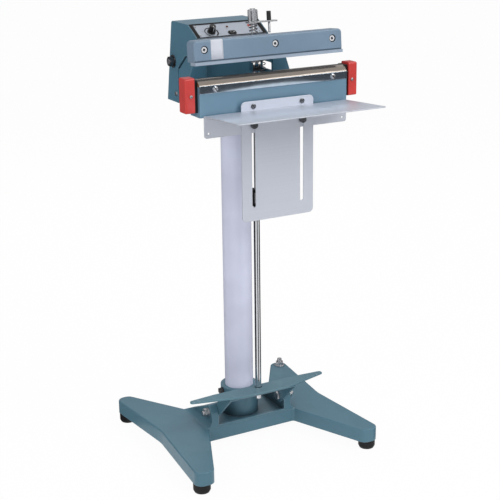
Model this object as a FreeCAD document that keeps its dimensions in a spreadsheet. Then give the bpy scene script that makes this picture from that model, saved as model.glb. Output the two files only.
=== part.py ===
import FreeCAD, Part
import math
import os
import Sketcher
from FreeCAD import Placement, Rotation, Vector

# Foot-operated impulse heat sealer on a pedestal, in millimetres and degrees.
# +X is to the operator's right, +Y to the rear and +Z up. The floor is z = 0, and the
# origin is on the floor under the middle of the whole machine.

SIZES = {
    # clearances
    "running_gap": 0.3, "fit": 0.05,
    # feet and base casting
    "foot_spacing_x": 398, "foot_spacing_y": 378, "foot_radius": 18, "foot_tread_radius": 15.5,
    "foot_height": 20, "foot_taper_height": 5, "leg_margin": 20, "leg_round": 17,
    "leg_tip_front": 39, "leg_tip_rear": 33, "skirt_height": 30, "casting_wall": 8,
    "waist_half": 198, "waist_back": 10, "waist_round": 110, "block_half": 105, "block_front": 37,
    "block_back": 80, "block_round": 8, "casting_edge": 3, "boss_radius": 14,
    "cheek_gap": 162, "cheek_thickness": 17, "cheek_height": 50, "cheek_brow": 34, "cheek_ledge": 13,
    "cheek_root": 14, "cheek_toe": 1, "sill_height": 4.5, "sill_depth": 6,
    "socket_radius": 41, "socket_height": 63,
    "level_stud_radius": 5, "level_stud_rise": 18, "level_washer_radius": 12,
    "level_washer_thickness": 2, "level_nut_radius": 9.8, "level_nut_height": 8,
    # column
    "column_radius": 31, "column_wall": 3, "column_length": 681, "column_back": 21,
    "column_bolt_radius": 4, "column_bolt_drop": 9, "column_bolt_head": 7.5,
    "column_bolt_head_height": 8,
    # pedal
    "pedal_pivot_front": 19, "pedal_pivot_rise": 31, "pedal_bolt_radius": 5, "pedal_bolt_head": 9.8,
    "pedal_bolt_head_height": 6, "pedal_nut_height": 8, "pedal_washer_radius": 10.5,
    "pedal_washer_thickness": 2, "pedal_bolt_end": 4, "pedal_tilt": 5, "pedal_height": 52,
    "pedal_thickness": 4, "pedal_half_width": 160, "pedal_front": 88, "pedal_back": 38,
    "pedal_front_half": 55, "pedal_rear_half": 100, "pedal_tip_front": 55, "pedal_tip_back": 43.5,
    "pedal_tip_round": 5, "pedal_side_round": 45, "pedal_edge": 1.5, "ear_thickness": 4,
    "ear_reach": 14, "ear_round": 9, "ear_top_back": 42, "web_front": 76, "web_height": 5,
    "web_thickness": 3,
    # pull rod
    "rod_radius": 6.5, "rod_hole_play": 1.9, "rod_nut_radius": 11, "rod_nut_height": 10,
    "rod_nut_slack": 2, "rod_tail": 9, "upper_rod_radius": 4.5, "turnbuckle_drop": 261,
    "turnbuckle_length": 36, "turnbuckle_radius": 8.5, "turnbuckle_nut_radius": 9.8,
    "turnbuckle_nut_height": 7, "fork_gap": 7, "fork_prong": 5, "fork_depth": 15, "fork_crotch": 12,
    "fork_block": 8, "fork_neck_radius": 7, "fork_neck": 10, "fork_pin_radius": 3,
    "fork_pin_head": 4.5, "fork_pin_head_height": 2, "fork_pin_tail": 2,
    # head frame
    "frame_half": 80, "frame_plate": 4, "frame_front": 5, "frame_height": 103, "bed_thickness": 5,
    "flange_reach": 37, "flange_top_reach": 24.5, "flange_knee": 66, "flange_low": 26,
    "flange_round": 9, "head_socket_radius": 40, "head_socket_depth": 36, "window_front": 2,
    "window_back": 45, "window_drop": 16, "window_height": 16, "window_round": 3,
    "side_slot": 4, "side_slot_front": 52,
    "pivot_back": 138, "pivot_rise": 85, "pivot_radius": 6, "pivot_nut_radius": 11,
    "pivot_nut_height": 9, "pivot_washer_radius": 13.5, "pivot_washer_thickness": 2,
    "pivot_spacer_radius": 9, "open_angle": 5,
    # control cover and panel
    "cover_sheet": 2, "cover_back_low": 171, "cover_back_high": 142, "cover_round": 7,
    "panel_front_back": 25, "panel_rise": 145.5, "panel_depth": 47, "panel_slope": 29.3,
    "lip_rise": 105, "lip_back": 81, "lip_drop": 2, "notch_back": 118, "notch_rise": 73,
    "panel_recess": 1, "panel_sheet": 2.5, "panel_inset": 0.5, "gasket_side": 8, "gasket_top": 3,
    "gasket_bottom": 1.5, "panel_screw_radius": 2.4, "panel_screw_height": 1.6,
    "panel_screw_inset_x": 12, "panel_screw_inset_y": 9, "cover_screw_radius": 5, "cover_screw_height": 3.5,
    "cover_screw_back": 125, "cover_screw_rise": 18.7,
    "front_cover_right": 55, "front_cover_sheet": 2, "front_cover_set": 20,
    "timer_x": -40.6, "timer_y": 17.6, "timer_knob_radius": 6.5, "timer_knob_height": 15,
    "timer_skirt_radius": 8.5, "timer_skirt_height": 3, "timer_lift": 0.5, "timer_shaft_radius": 3,
    "timer_flute_radius": 0.7, "timer_pot_radius": 9, "timer_pot_depth": 10, "timer_board_x": 48,
    "timer_board_y": 34, "timer_board_thickness": 2,
    "switch_x": 3.7, "switch_y": 10.2, "rocker_length": 12, "rocker_width": 6.4, "rocker_rise": 2.6,
    "rocker_depth": 5, "rocker_play": 0.9, "rocker_pin_radius": 1, "rocker_pin_drop": 3,
    "bezel_rim": 1.8, "bezel_height": 1.4,
    "power_lamp_x": 0.3, "power_lamp_y": 30, "power_lamp_radius": 2.6, "heat_lamp_x": 50.5,
    "heat_lamp_y": 28.8, "heat_lamp_radius": 3.6, "lamp_collar": 1.2, "lamp_collar_height": 0.8,
    "lamp_rise": 3,
    "gland_x": 55, "gland_back": 128, "gland_radius": 8, "gland_length": 14, "gland_nut_radius": 11,
    "gland_nut_height": 5, "gland_bore": 4,
    "core_width": 64, "core_depth": 50, "core_height": 54, "core_back": 65, "coil_width": 40,
    "coil_overhang": 9, "coil_height": 30,
    # lower jaw
    "jaw_length": 326, "jaw_front": 147, "jaw_depth": 40, "jaw_low": 22.5, "jaw_height": 58.5,
    "crown_shoulder": 2, "crown_height": 12.8, "skin_thickness": 0.8, "ribbon_width": 6,
    "ribbon_thickness": 0.4, "strip_height": 15, "strip_overlap": 2, "strip_sheet": 1.6,
    "strip_screw_x": 130, "small_screw_radius": 2.5, "small_head_radius": 5, "small_head_height": 2.6,
    "small_screw_length": 12, "insulator_thickness": 7.5, "insulator_inset": 8, "insulator_low": 9.5,
    "cap_thickness": 20.5, "cap_front": 143, "cap_depth": 27, "cap_low": 32, "cap_height": 66.5,
    "cap_round": 3.5, "cap_screw_rise": 32.4, "cap_screw_head": 2.9, "cap_screw_inset": 12.5,
    "support_x": 101, "support_thickness": 10, "support_height": 40,
    # shelf and apron
    "apron_width": 160, "apron_sheet": 2, "apron_spacer": 8, "apron_spacer_radius": 5,
    "apron_top": 46, "apron_bottom": 192, "apron_round": 9, "apron_screw_x": 54, "apron_screw_rise": 36,
    "slot_width": 8, "slot_top": 8, "slot_bottom": 165,
    "shelf_width": 316, "shelf_depth": 143, "shelf_sheet": 2, "shelf_tilt": 4, "shelf_rise": 25,
    "shelf_flange": 41, "shelf_round": 5, "flange_hole_radius": 2.2, "flange_hole_inset": 9,
    "clamp_rise": 0, "clamp_screw_radius": 3, "clamp_head_radius": 7, "clamp_head_height": 7,
    "clamp_nut_radius": 5.8, "clamp_nut_height": 4,
    # press arm and upper jaw, measured from the arm's pivot with the jaws closed
    "upper_jaw_front": 271, "upper_jaw_depth": 30, "upper_jaw_height": 40.5, "upper_jaw_round": 8,
    "upper_jaw_edge": 3.5, "rebate_depth": 3, "rebate_height": 2.5, "pad_front": 272.5,
    "pad_width": 20, "pad_height": 6, "pad_gap": 0.4, "jaw_screw_x": 141, "jaw_screw_offset": 12,
    "jaw_screw_rise": 38.5, "jaw_screw_head": 5.8, "jaw_screw_recess": 7.4, "jaw_screw_sink": 1.5,
    "jaw_screw_head_height": 4.5, "jaw_screw_socket": 3.2,
    "jaw_screw_radius": 3, "arm_half": 66, "arm_plate": 6, "arm_low": 22, "arm_height": 22,
    "arm_mount": 3, "arm_boss": 14, "arm_knee": 53, "arm_heel": 63, "arm_round": 10, "deck_back": 178,
    "deck_low": 30, "deck_thickness": 6,
    "stud_front": 206, "stud_radius": 5, "eye_rise": 4, "eye_radius": 7, "eye_thickness": 6.4,
    "eye_neck": 4, "spring_length": 41, "spring_radius": 7.4, "spring_wire": 1.2, "spring_turns": 7,
    "bar_left": 13, "bar_right": 51, "bar_depth": 14, "bar_thickness": 3, "knob_radius": 10,
    "knob_height": 23, "knob_flute_radius": 1.1, "knob_chamfer": 1.5, "stud_tip": 2, "stop_x": 36,
    "stop_radius": 2.2, "stop_head_radius": 4.5, "stop_head_height": 18, "stop_flute_radius": 0.7,
    "stop_length": 24, "switch_block_x": 20, "switch_block_y": 10, "switch_block_height": 14,
    "switch_button_radius": 2, "switch_button_height": 1.5,
    # arm return spring
    "return_x": 18, "return_front": 65, "return_seat": 58, "return_radius": 5.6, "return_wire": 0.9,
    "return_turns": 9, "seat_sheet": 3, "seat_half": 7.5, "seat_reach": 11, "seat_leg": 20,
}

FLUTES = {"pressure_knob": 20, "stop_screw": 12, "timer_knob": 14}
TURN_STEPS = 4
LEAST_GAP = 0.4

doc = FreeCAD.newDocument("HeatSealer")
NODES = []


class Dim:
    """A size with its number and the sheet formula that gives it."""

    def __init__(self, value, formula):
        self.value = value
        self.formula = formula

    def __add__(self, other):
        other = as_dim(other)
        return Dim(self.value + other.value, f"({self.formula} + {other.formula})")

    def __sub__(self, other):
        other = as_dim(other)
        return Dim(self.value - other.value, f"({self.formula} - {other.formula})")

    def __mul__(self, other):
        other = as_dim(other)
        return Dim(self.value * other.value, f"({self.formula} * {other.formula})")

    def __truediv__(self, other):
        other = as_dim(other)
        return Dim(self.value / other.value, f"({self.formula} / {other.formula})")

    def __radd__(self, other):
        return as_dim(other) + self

    def __rsub__(self, other):
        return as_dim(other) - self

    def __rmul__(self, other):
        return as_dim(other) * self

    def __neg__(self):
        return Dim(-self.value, f"(0 - {self.formula})")

    def __float__(self):
        return float(self.value)


def as_dim(size):
    if isinstance(size, Dim):
        return size
    return Dim(size, f"({size})")


def cosine(angle):
    return Dim(math.cos(math.radians(angle.value)), f"cos({angle.formula})")


def sine(angle):
    return Dim(math.sin(math.radians(angle.value)), f"sin({angle.formula})")


class Sizes:
    """The sheet of driving sizes; each one is read as an attribute."""

    def __init__(self):
        self.sheet = doc.addObject("Spreadsheet::Sheet", "Sizes")
        for row, (name, number) in enumerate(SIZES.items(), start=1):
            self.sheet.set(f"A{row}", name)
            self.sheet.set(f"B{row}", str(number))
            self.sheet.setAlias(f"B{row}", name)
        doc.recompute()

    def __getattr__(self, name):
        return Dim(float(self.sheet.get(name)), f"Sizes.{name}")


s = Sizes()


# Helpers for bound sizes and places

def bind(item, prop, size):
    item.setExpression(prop, as_dim(size).formula)


def place(item, at=(0, 0, 0), axis=Vector(1, 0, 0), angle=0):
    item.Placement = Placement(Vector(*[float(c) for c in at]), Rotation(axis, float(angle)))
    for name, size in zip("xyz", at):
        bind(item, f"Placement.Base.{name}", size)
    if isinstance(angle, Dim):
        bind(item, "Placement.Rotation.Angle", angle)
    return item


def node(item, name, frame):
    """Names a finished sub-part and seats it in its frame: a point and a turn about X."""
    item.Label = name
    place(item, frame["at"], angle=frame["turn"])
    NODES.append(item)
    return item


def group(items):
    compound = doc.addObject("Part::Compound", "Group")
    compound.Links = items
    return compound


def box(low, high):
    item = doc.addObject("Part::Box", "Box")
    for prop, start, end in zip(("Length", "Width", "Height"), low, high):
        bind(item, prop, end - start)
    return place(item, low)


AXES = {"x": (Vector(0, 1, 0), 90), "y": (Vector(1, 0, 0), -90), "z": (Vector(1, 0, 0), 0)}


def cylinder(radius, start, length, along="z"):
    """A round bar from its start point, along +X, +Y or +Z."""
    item = doc.addObject("Part::Cylinder", "Bar")
    bind(item, "Radius", radius)
    bind(item, "Height", length)
    axis, angle = AXES[along]
    return place(item, start, axis, angle)


def hexagon(radius, start, length, along="z"):
    """A six-sided bar; the radius reaches its corners."""
    item = doc.addObject("Part::Prism", "Hex")
    item.Polygon = 6
    bind(item, "Circumradius", radius)
    bind(item, "Height", length)
    axis, angle = AXES[along]
    return place(item, start, axis, angle)


def cone(low_radius, high_radius, start, length):
    item = doc.addObject("Part::Cone", "Cone")
    bind(item, "Radius1", low_radius)
    bind(item, "Radius2", high_radius)
    bind(item, "Height", length)
    return place(item, start)


def cut(base, *tools):
    for tool in tools:
        result = doc.addObject("Part::Cut", "Cut")
        result.Base = base
        result.Tool = tool
        base = result
    return base


def fuse(*items):
    result = doc.addObject("Part::MultiFuse", "Fuse")
    result.Shapes = list(items)
    result.Refine = True
    return result


def body(name):
    return doc.addObject("PartDesign::Body", name)


def sketch_on(item, plane, offset=0):
    """A sketch on one of the body's own planes, moved along that plane's normal."""
    drawing = item.newObject("Sketcher::SketchObject", "Sketch")
    support = [f for f in item.Origin.OriginFeatures if f.Role == plane][0]
    drawing.AttachmentSupport = [(support, "")]
    drawing.MapMode = "FlatFace"
    bind(drawing, "AttachmentOffset.Base.z", offset)
    return drawing


def outline(drawing, points, arcs=None):
    """A closed outline; arcs maps an edge's index to the centre of its round stretch."""
    arcs = arcs or {}
    spots = [Vector(float(u), float(v), 0) for u, v in points]
    ends = []
    for index, start in enumerate(spots):
        end = spots[(index + 1) % len(spots)]
        if index not in arcs:
            ends.append((drawing.addGeometry(Part.LineSegment(start, end)), 1, 2))
            continue
        centre = Vector(*[float(c) for c in arcs[index]], 0)
        first, last = [math.atan2((p - centre).y, (p - centre).x) for p in (start, end)]
        sweep = (last - first) % (2 * math.pi)
        forward = sweep < math.pi + 0.01
        angles = (first, first + sweep) if forward else (last, last + 2 * math.pi - sweep)
        ring = Part.Circle(centre, Vector(0, 0, 1), (start - centre).Length)
        arc = drawing.addGeometry(Part.ArcOfCircle(ring, *angles))
        ends.append((arc, 1, 2) if forward else (arc, 2, 1))
    for index, (edge, _, tail) in enumerate(ends):
        follower, head, _ = ends[(index + 1) % len(ends)]
        drawing.addConstraint(Sketcher.Constraint("Coincident", edge, tail, follower, head))
    for (u, v), (edge, head, _) in zip(points, ends):
        dimension(drawing, "DistanceX", edge, head, u)
        dimension(drawing, "DistanceY", edge, head, v)
    for index, (u, v) in arcs.items():
        run = spots[(index + 1) % len(spots)] - spots[index]
        level = abs(run.x) > abs(run.y)
        dimension(drawing, "DistanceY" if level else "DistanceX", ends[index][0], 3, v if level else u)


def dimension(drawing, kind, edge, end, size):
    size = as_dim(size)
    mark = drawing.addConstraint(Sketcher.Constraint(kind, -1, 1, edge, end, size.value))
    drawing.setExpression(f"Constraints[{mark}]", size.formula)


def rectangle(drawing, low, high):
    outline(drawing, [low, (high[0], low[1]), high, (low[0], high[1])])


def circle(drawing, centre, radius):
    spot = Vector(float(centre[0]), float(centre[1]), 0)
    ring = drawing.addGeometry(Part.Circle(spot, Vector(0, 0, 1), float(radius)))
    dimension(drawing, "DistanceX", ring, 3, centre[0])
    dimension(drawing, "DistanceY", ring, 3, centre[1])
    mark = drawing.addConstraint(Sketcher.Constraint("Radius", ring, float(radius)))
    drawing.setExpression(f"Constraints[{mark}]", as_dim(radius).formula)


def pad(item, drawing, length, middle=False, reverse=False):
    feature = item.newObject("PartDesign::Pad", "Pad")
    feature.Profile = drawing
    feature.Midplane = middle
    feature.Reversed = reverse
    bind(feature, "Length", length)
    doc.recompute()
    return feature


def pocket(item, drawing, length, middle=False, reverse=False):
    feature = item.newObject("PartDesign::Pocket", "Pocket")
    feature.Profile = drawing
    feature.Midplane = middle
    feature.Reversed = reverse
    bind(feature, "Length", length)
    doc.recompute()
    return feature


def around(item, feature, count):
    """Repeats a feature round the body's Z axis."""
    pattern = item.newObject("PartDesign::PolarPattern", "Around")
    pattern.Originals = [feature]
    axis = [f for f in item.Origin.OriginFeatures if f.Role == "Z_Axis"][0]
    pattern.Axis = (axis, [""])
    pattern.Angle = 360
    pattern.Occurrences = count
    item.Tip = pattern
    doc.recompute()
    return pattern


def dress(item, kind, size, edges):
    shape_so_far = item.Tip
    feature = item.newObject(f"PartDesign::{kind}", kind)
    feature.Base = (shape_so_far, edges)
    bind(feature, "Radius" if kind == "Fillet" else "Size", size)
    doc.recompute()
    return feature


def edges_where(item, test):
    return [f"Edge{i}" for i, edge in enumerate(item.Tip.Shape.Edges, start=1) if test(edge)]


def corner_edges(item, axis, corners):
    """The straight edges along one axis (0, 1 or 2) that pass through the given corners."""
    others = [k for k in range(3) if k != axis]
    spots = [tuple(float(c) for c in corner) for corner in corners]

    def at_corner(edge):
        ends = [vertex.Point for vertex in edge.Vertexes]
        if len(ends) != 2 or abs(ends[0][axis] - ends[1][axis]) < 0.5 * edge.Length:
            return False
        spot = [ends[0][k] for k in others]
        return any(math.dist(spot, corner) < 0.01 for corner in spots)
    return edges_where(item, at_corner)


def level_edges(item, height):
    """Every edge that lies in one level plane."""
    def level(edge):
        bounds = edge.BoundBox
        return abs(bounds.ZMin - float(height)) < 0.01 and abs(bounds.ZMax - float(height)) < 0.01
    return edges_where(item, level)


def both_sides(points):
    """A right-hand half outline with its mirror image, as one closed outline."""
    return points + [(-x, y) for x, y in reversed(points)]


def mirrored(points):
    return [(-x, y) for x, y in reversed(points)]


# Places that several pieces share

foot_x = s.foot_spacing_x / 2
foot_y = s.foot_spacing_y / 2
jaw_half = s.jaw_length / 2
rear_reach = foot_y + s.leg_margin
apron_back = s.jaw_front + s.apron_spacer
apron_face = apron_back + s.apron_sheet
shelf_bend = apron_back - s.running_gap - s.shelf_sheet
front_reach = shelf_bend + s.shelf_depth * cosine(s.shelf_tilt)
stand_y = (front_reach - rear_reach) / 2

base_top = s.foot_height + s.skirt_height
head_low = base_top + s.column_length
cheek_inner = s.cheek_gap / 2
cheek_outer = cheek_inner + s.cheek_thickness
cover_half = s.frame_half + s.cover_sheet
panel_back = s.panel_front_back + s.panel_depth * cosine(s.panel_slope)
cover_height = s.panel_rise + s.panel_depth * sine(s.panel_slope)
cover_lean = (s.cover_back_low - s.cover_back_high) / cover_height
jaw_back = s.jaw_front - s.jaw_depth
jaw_top = s.jaw_low + s.jaw_height
crown_top = jaw_top + s.crown_height

eye_y = s.eye_rise * sine(s.open_angle) - s.stud_front * cosine(s.open_angle)
eye_z = s.eye_rise * cosine(s.open_angle) + s.stud_front * sine(s.open_angle)
rod_y = stand_y + s.pivot_back + eye_y
rod_top = head_low + s.pivot_rise + eye_z
pedal_y = stand_y - s.pedal_pivot_front
pedal_z = base_top + s.pedal_pivot_rise

STAND = {"at": (0, stand_y, 0), "turn": 0}
CASTING = {"at": (0, stand_y, s.foot_height), "turn": 0}
HEAD = {"at": (0, stand_y, head_low), "turn": 0}
PANEL = {"at": (0, stand_y + s.panel_front_back, head_low + s.panel_rise), "turn": s.panel_slope}
ARM = {"at": (0, stand_y + s.pivot_back, head_low + s.pivot_rise), "turn": -s.open_angle}
PEDAL = {"at": (0, pedal_y, pedal_z), "turn": -s.pedal_tilt}
ROD = {"at": (0, rod_y, rod_top), "turn": 0}


# Pedestal: casting, feet, levelling bolt and column

def base_casting():
    item = body("base_casting")
    tip = foot_x + s.leg_margin
    leg_end = foot_y + s.leg_margin
    front_block = (s.block_half, -s.block_front)
    rear_block = (s.block_half, s.block_back)
    toes = [(tip - s.leg_tip_front, -leg_end), (tip, -leg_end)]
    heels = [(tip, leg_end), (tip - s.leg_tip_rear, leg_end)]
    waist = (s.waist_half, s.waist_back)
    plan = [front_block, *toes, waist, *heels, rear_block]
    drawing = sketch_on(item, "XY_Plane")
    outline(drawing, both_sides(plan))
    pad(item, drawing, s.skirt_height)
    leg_ends = toes + heels
    dress(item, "Fillet", s.leg_round, corner_edges(item, 2, leg_ends + mirrored(leg_ends)))
    dress(item, "Fillet", s.waist_round, corner_edges(item, 2, [waist] + mirrored([waist])))
    blocks = [front_block, rear_block]
    dress(item, "Fillet", s.block_round, corner_edges(item, 2, blocks + mirrored(blocks)))
    hollow_casting(item)
    dress(item, "Fillet", s.casting_edge, level_edges(item, s.skirt_height))
    foot_bosses(item)
    casting_cheeks(item)
    casting_socket(item)
    node(item, "base_casting", CASTING)


def hollow_casting(item):
    """Opens the casting from below, leaving its skirt and its top."""
    under = [f"Face{i}" for i, face in enumerate(item.Tip.Shape.Faces, start=1)
             if face.BoundBox.ZMax < 0.01]
    shape_so_far = item.Tip
    shell = item.newObject("PartDesign::Thickness", "Shell")
    shell.Base = (shape_so_far, under)
    shell.Reversed = True
    shell.Join = 1
    bind(shell, "Value", s.casting_wall)
    doc.recompute()


def foot_bosses(item):
    """A boss over each foot, and the hole for the levelling bolt."""
    bosses = sketch_on(item, "XY_Plane")
    for x in (-foot_x, foot_x):
        for y in (-foot_y, foot_y):
            circle(bosses, (x, y), s.boss_radius)
    pad(item, bosses, s.skirt_height - s.casting_wall / 2)
    stud_hole = sketch_on(item, "XY_Plane")
    circle(stud_hole, (foot_x, foot_y), s.level_stud_radius + s.fit)
    pocket(item, stud_hole, s.skirt_height * 3, middle=True)


def casting_cheeks(item):
    """Two cheeks for the pedal bolts, swept into the casting and sloping to the rear."""
    top = s.skirt_height
    root = cheek_outer + s.cheek_root
    middle = (s.block_back - s.block_front) / 2
    section = [(cheek_inner, top - s.cheek_toe), (root, top - s.cheek_toe), (root, top),
               (cheek_outer, top + s.cheek_root), (cheek_outer, top + s.cheek_height),
               (cheek_inner, top + s.cheek_height)]
    sweep = (root, top + s.cheek_root)
    drawing = sketch_on(item, "XZ_Plane", -middle)
    outline(drawing, section, {2: sweep})
    outline(drawing, mirrored(section), {2: (-sweep[0], sweep[1])})
    pad(item, drawing, s.block_back + s.block_front, middle=True)
    slope = sketch_on(item, "YZ_Plane")
    ledge = s.cheek_ledge - s.block_front
    over = top + s.cheek_height * 2
    behind = s.block_back * 2
    outline(slope, [(ledge, top + s.cheek_height), (s.block_back, top + s.cheek_toe / 2),
                    (behind, top + s.cheek_toe / 2), (behind, over), (ledge, over)])
    pocket(item, slope, (root + s.cheek_thickness) * 2, middle=True)
    brow = sketch_on(item, "YZ_Plane")
    ahead = -s.block_front - s.cheek_ledge
    outline(brow, [(-s.block_front, top + s.cheek_brow), (ledge, top + s.cheek_height), (ledge, over),
                   (ahead, over), (ahead, top + s.cheek_brow)])
    pocket(item, brow, (root + s.cheek_thickness) * 2, middle=True)
    bolt_hole = sketch_on(item, "YZ_Plane")
    circle(bolt_hole, (-s.pedal_pivot_front, top + s.pedal_pivot_rise), s.pedal_bolt_radius + s.fit)
    pocket(item, bolt_hole, root * 2, middle=True)
    sill = sketch_on(item, "XY_Plane", top - s.cheek_toe)
    rectangle(sill, (-cheek_inner, -s.block_front), (cheek_inner, s.sill_depth - s.block_front))
    pad(item, sill, s.sill_height + s.cheek_toe)


def casting_socket(item):
    """The round socket that holds the column, with a cross hole for its two bolts."""
    ring = sketch_on(item, "XY_Plane", s.skirt_height - s.cheek_toe)
    centre = (0, s.column_back)
    circle(ring, centre, s.socket_radius)
    pad(item, ring, s.socket_height + s.cheek_toe)
    bore = sketch_on(item, "XY_Plane", s.skirt_height)
    circle(bore, centre, s.column_radius + s.fit)
    pocket(item, bore, s.socket_height * 2, reverse=True)
    cross = sketch_on(item, "YZ_Plane")
    height = s.skirt_height + s.socket_height - s.column_bolt_drop
    circle(cross, (s.column_back, height), s.column_bolt_radius + s.fit)
    pocket(item, cross, (s.socket_radius + s.fit) * 2, middle=True)


def rubber_feet():
    feet = []
    for x in (-foot_x, foot_x):
        for y in (-foot_y, foot_y):
            tread = cone(s.foot_tread_radius, s.foot_radius, (x, y, 0), s.foot_taper_height)
            block = cylinder(s.foot_radius, (x, y, s.foot_taper_height),
                             s.foot_height - s.foot_taper_height)
            feet.append(fuse(tread, block))
    node(group(feet), "rubber_feet", STAND)


def levelling_bolt():
    spot = (foot_x, foot_y)
    nut_low = base_top + s.level_washer_thickness
    stud = cylinder(s.level_stud_radius, (*spot, s.foot_height), s.skirt_height + s.level_stud_rise)
    bore = s.level_stud_radius + s.fit
    washer = cut(cylinder(s.level_washer_radius, (*spot, base_top), s.level_washer_thickness),
                 cylinder(bore, (*spot, base_top), s.level_washer_thickness))
    nut = cut(hexagon(s.level_nut_radius, (*spot, nut_low), s.level_nut_height),
              cylinder(bore, (*spot, nut_low), s.level_nut_height))
    node(group([stud, washer, nut]), "levelling_bolt", STAND)


def column_tube():
    foot = (0, s.column_back, base_top)
    tube = cut(cylinder(s.column_radius, foot, s.column_length),
               cylinder(s.column_radius - s.column_wall, foot, s.column_length))
    node(tube, "column_tube", STAND)


def column_bolts():
    height = base_top + s.socket_height - s.column_bolt_drop
    shank = s.socket_radius - s.column_radius
    bolts = []
    for inner, head in ((s.column_radius, s.socket_radius),
                        (-s.socket_radius, -s.socket_radius - s.column_bolt_head_height)):
        stem = cylinder(s.column_bolt_radius, (inner, s.column_back, height), shank, "x")
        cap = hexagon(s.column_bolt_head, (head, s.column_back, height), s.column_bolt_head_height, "x")
        bolts.append(fuse(stem, cap))
    node(group(bolts), "column_bolts", STAND)


# Pedal and its pivot

ear_outer = cheek_inner - s.running_gap
ear_inner = ear_outer - s.ear_thickness


def pedal_pivot():
    """Two short bolts on one axis: heads inside the cheeks, washers and nuts outside."""
    spot = (-s.pedal_pivot_front, base_top + s.pedal_pivot_rise)
    head_face = ear_inner - s.running_gap
    washer_end = cheek_outer + s.pedal_washer_thickness
    bolt_end = washer_end + s.pedal_nut_height + s.pedal_bolt_end
    bore = s.pedal_bolt_radius + s.fit
    bolts, nuts = [], []
    for side in (1, -1):
        def across(radius, near, far, make=cylinder):
            start = near if side > 0 else -far
            return make(radius, (start, *spot), far - near, "x")
        shank = across(s.pedal_bolt_radius, head_face, bolt_end)
        head = across(s.pedal_bolt_head, head_face - s.pedal_bolt_head_height, head_face, hexagon)
        bolts.append(fuse(shank, head))
        washer = across(s.pedal_washer_radius, cheek_outer, washer_end)
        nut_end = washer_end + s.pedal_nut_height
        nut = across(s.pedal_bolt_head, washer_end, nut_end, hexagon)
        nuts.append(cut(washer, across(bore, cheek_outer, washer_end)))
        nuts.append(cut(nut, across(bore, washer_end, nut_end)))
    node(group(bolts), "pedal_pivot_bolts", STAND)
    node(group(nuts), "pedal_pivot_nuts", STAND)


plate_low = s.pedal_height - s.pedal_thickness
rod_hole_y = (rod_y - pedal_y - s.pedal_height * sine(s.pedal_tilt)) / cosine(s.pedal_tilt)


def pedal_plate():
    item = body("pedal_plate")
    front_corner = (s.pedal_front_half, -s.pedal_front)
    rear_corner = (s.pedal_rear_half, -s.pedal_back)
    tips = [(s.pedal_half_width, -s.pedal_tip_front), (s.pedal_half_width, -s.pedal_tip_back)]
    drawing = sketch_on(item, "XY_Plane", plate_low)
    outline(drawing, both_sides([front_corner, *tips, rear_corner]))
    pad(item, drawing, s.pedal_thickness)
    sides = [front_corner, rear_corner]
    dress(item, "Fillet", s.pedal_tip_round, corner_edges(item, 2, tips + mirrored(tips)))
    dress(item, "Fillet", s.pedal_side_round, corner_edges(item, 2, sides + mirrored(sides)))
    dress(item, "Fillet", s.pedal_edge, level_edges(item, s.pedal_height))
    hole = sketch_on(item, "XY_Plane", plate_low)
    circle(hole, (0, rod_hole_y), s.rod_radius + s.rod_hole_play)
    pocket(item, hole, s.pedal_thickness * 4, middle=True)
    node(item, "pedal_plate", PEDAL)


def pedal_yoke():
    """A bent yoke under the plate: a front web and two ears that hang on the pivot bolts."""
    item = body("pedal_yoke")
    web_low = plate_low - s.web_height
    chin = [(-s.ear_reach / 2, -s.ear_reach), (s.ear_reach / 2, -s.ear_reach)]
    side = [(-s.web_front, plate_low), (-s.web_front, web_low), *chin, (s.ear_reach, 0),
            (-s.ear_top_back, plate_low)]
    profile = sketch_on(item, "YZ_Plane")
    outline(profile, side)
    pad(item, profile, ear_outer * 2, middle=True)
    dress(item, "Fillet", s.ear_round, corner_edges(item, 0, chin))
    inside = sketch_on(item, "YZ_Plane")
    back = s.web_thickness - s.web_front
    rectangle(inside, (back, -s.ear_reach * 2), (s.ear_reach * 2, s.pedal_height))
    pocket(item, inside, ear_inner * 2, middle=True)
    bore = sketch_on(item, "YZ_Plane")
    circle(bore, (0, 0), s.pedal_bolt_radius + s.fit)
    pocket(item, bore, cheek_outer * 2, middle=True)
    node(item, "pedal_yoke", PEDAL)


# Pull rod, from the pedal up to the fork under the press arm

underside_rise = plate_low * cosine(s.pedal_tilt) - rod_hole_y * sine(s.pedal_tilt)
rod_nut_top = pedal_z + underside_rise - s.rod_nut_slack - rod_top
fork_half = s.fork_gap / 2 + s.fork_prong
fork_low = -s.fork_crotch - s.fork_block
neck_low = fork_low - s.fork_neck


def pull_rod():
    end = rod_nut_top - s.rod_nut_height - s.rod_tail
    top = -s.turnbuckle_drop - s.turnbuckle_length / 2
    bar = cylinder(s.rod_radius, (0, 0, end), top - end)
    node(group([bar]), "pull_rod", ROD)
    low = rod_nut_top - s.rod_nut_height
    nut = cut(hexagon(s.rod_nut_radius, (0, 0, low), s.rod_nut_height),
              cylinder(s.rod_radius + s.fit, (0, 0, low), s.rod_nut_height))
    node(group([nut]), "rod_nut", ROD)


def turnbuckle():
    """A threaded sleeve with a lock nut at each end, over the ends of the two rods."""
    low = -s.turnbuckle_drop - s.turnbuckle_length
    middle = low + s.turnbuckle_length / 2
    high = low + s.turnbuckle_length
    sleeve = cylinder(s.turnbuckle_radius, (0, 0, low), s.turnbuckle_length)
    lock_low = hexagon(s.turnbuckle_nut_radius, (0, 0, low), s.turnbuckle_nut_height)
    lock_high = hexagon(s.turnbuckle_nut_radius, (0, 0, high - s.turnbuckle_nut_height),
                        s.turnbuckle_nut_height)
    lower_bore = cylinder(s.rod_radius + s.fit, (0, 0, low), middle - low)
    upper_bore = cylinder(s.upper_rod_radius + s.fit, (0, 0, middle), high - middle)
    node(cut(fuse(sleeve, lock_low, lock_high), lower_bore, upper_bore), "turnbuckle", ROD)


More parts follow.
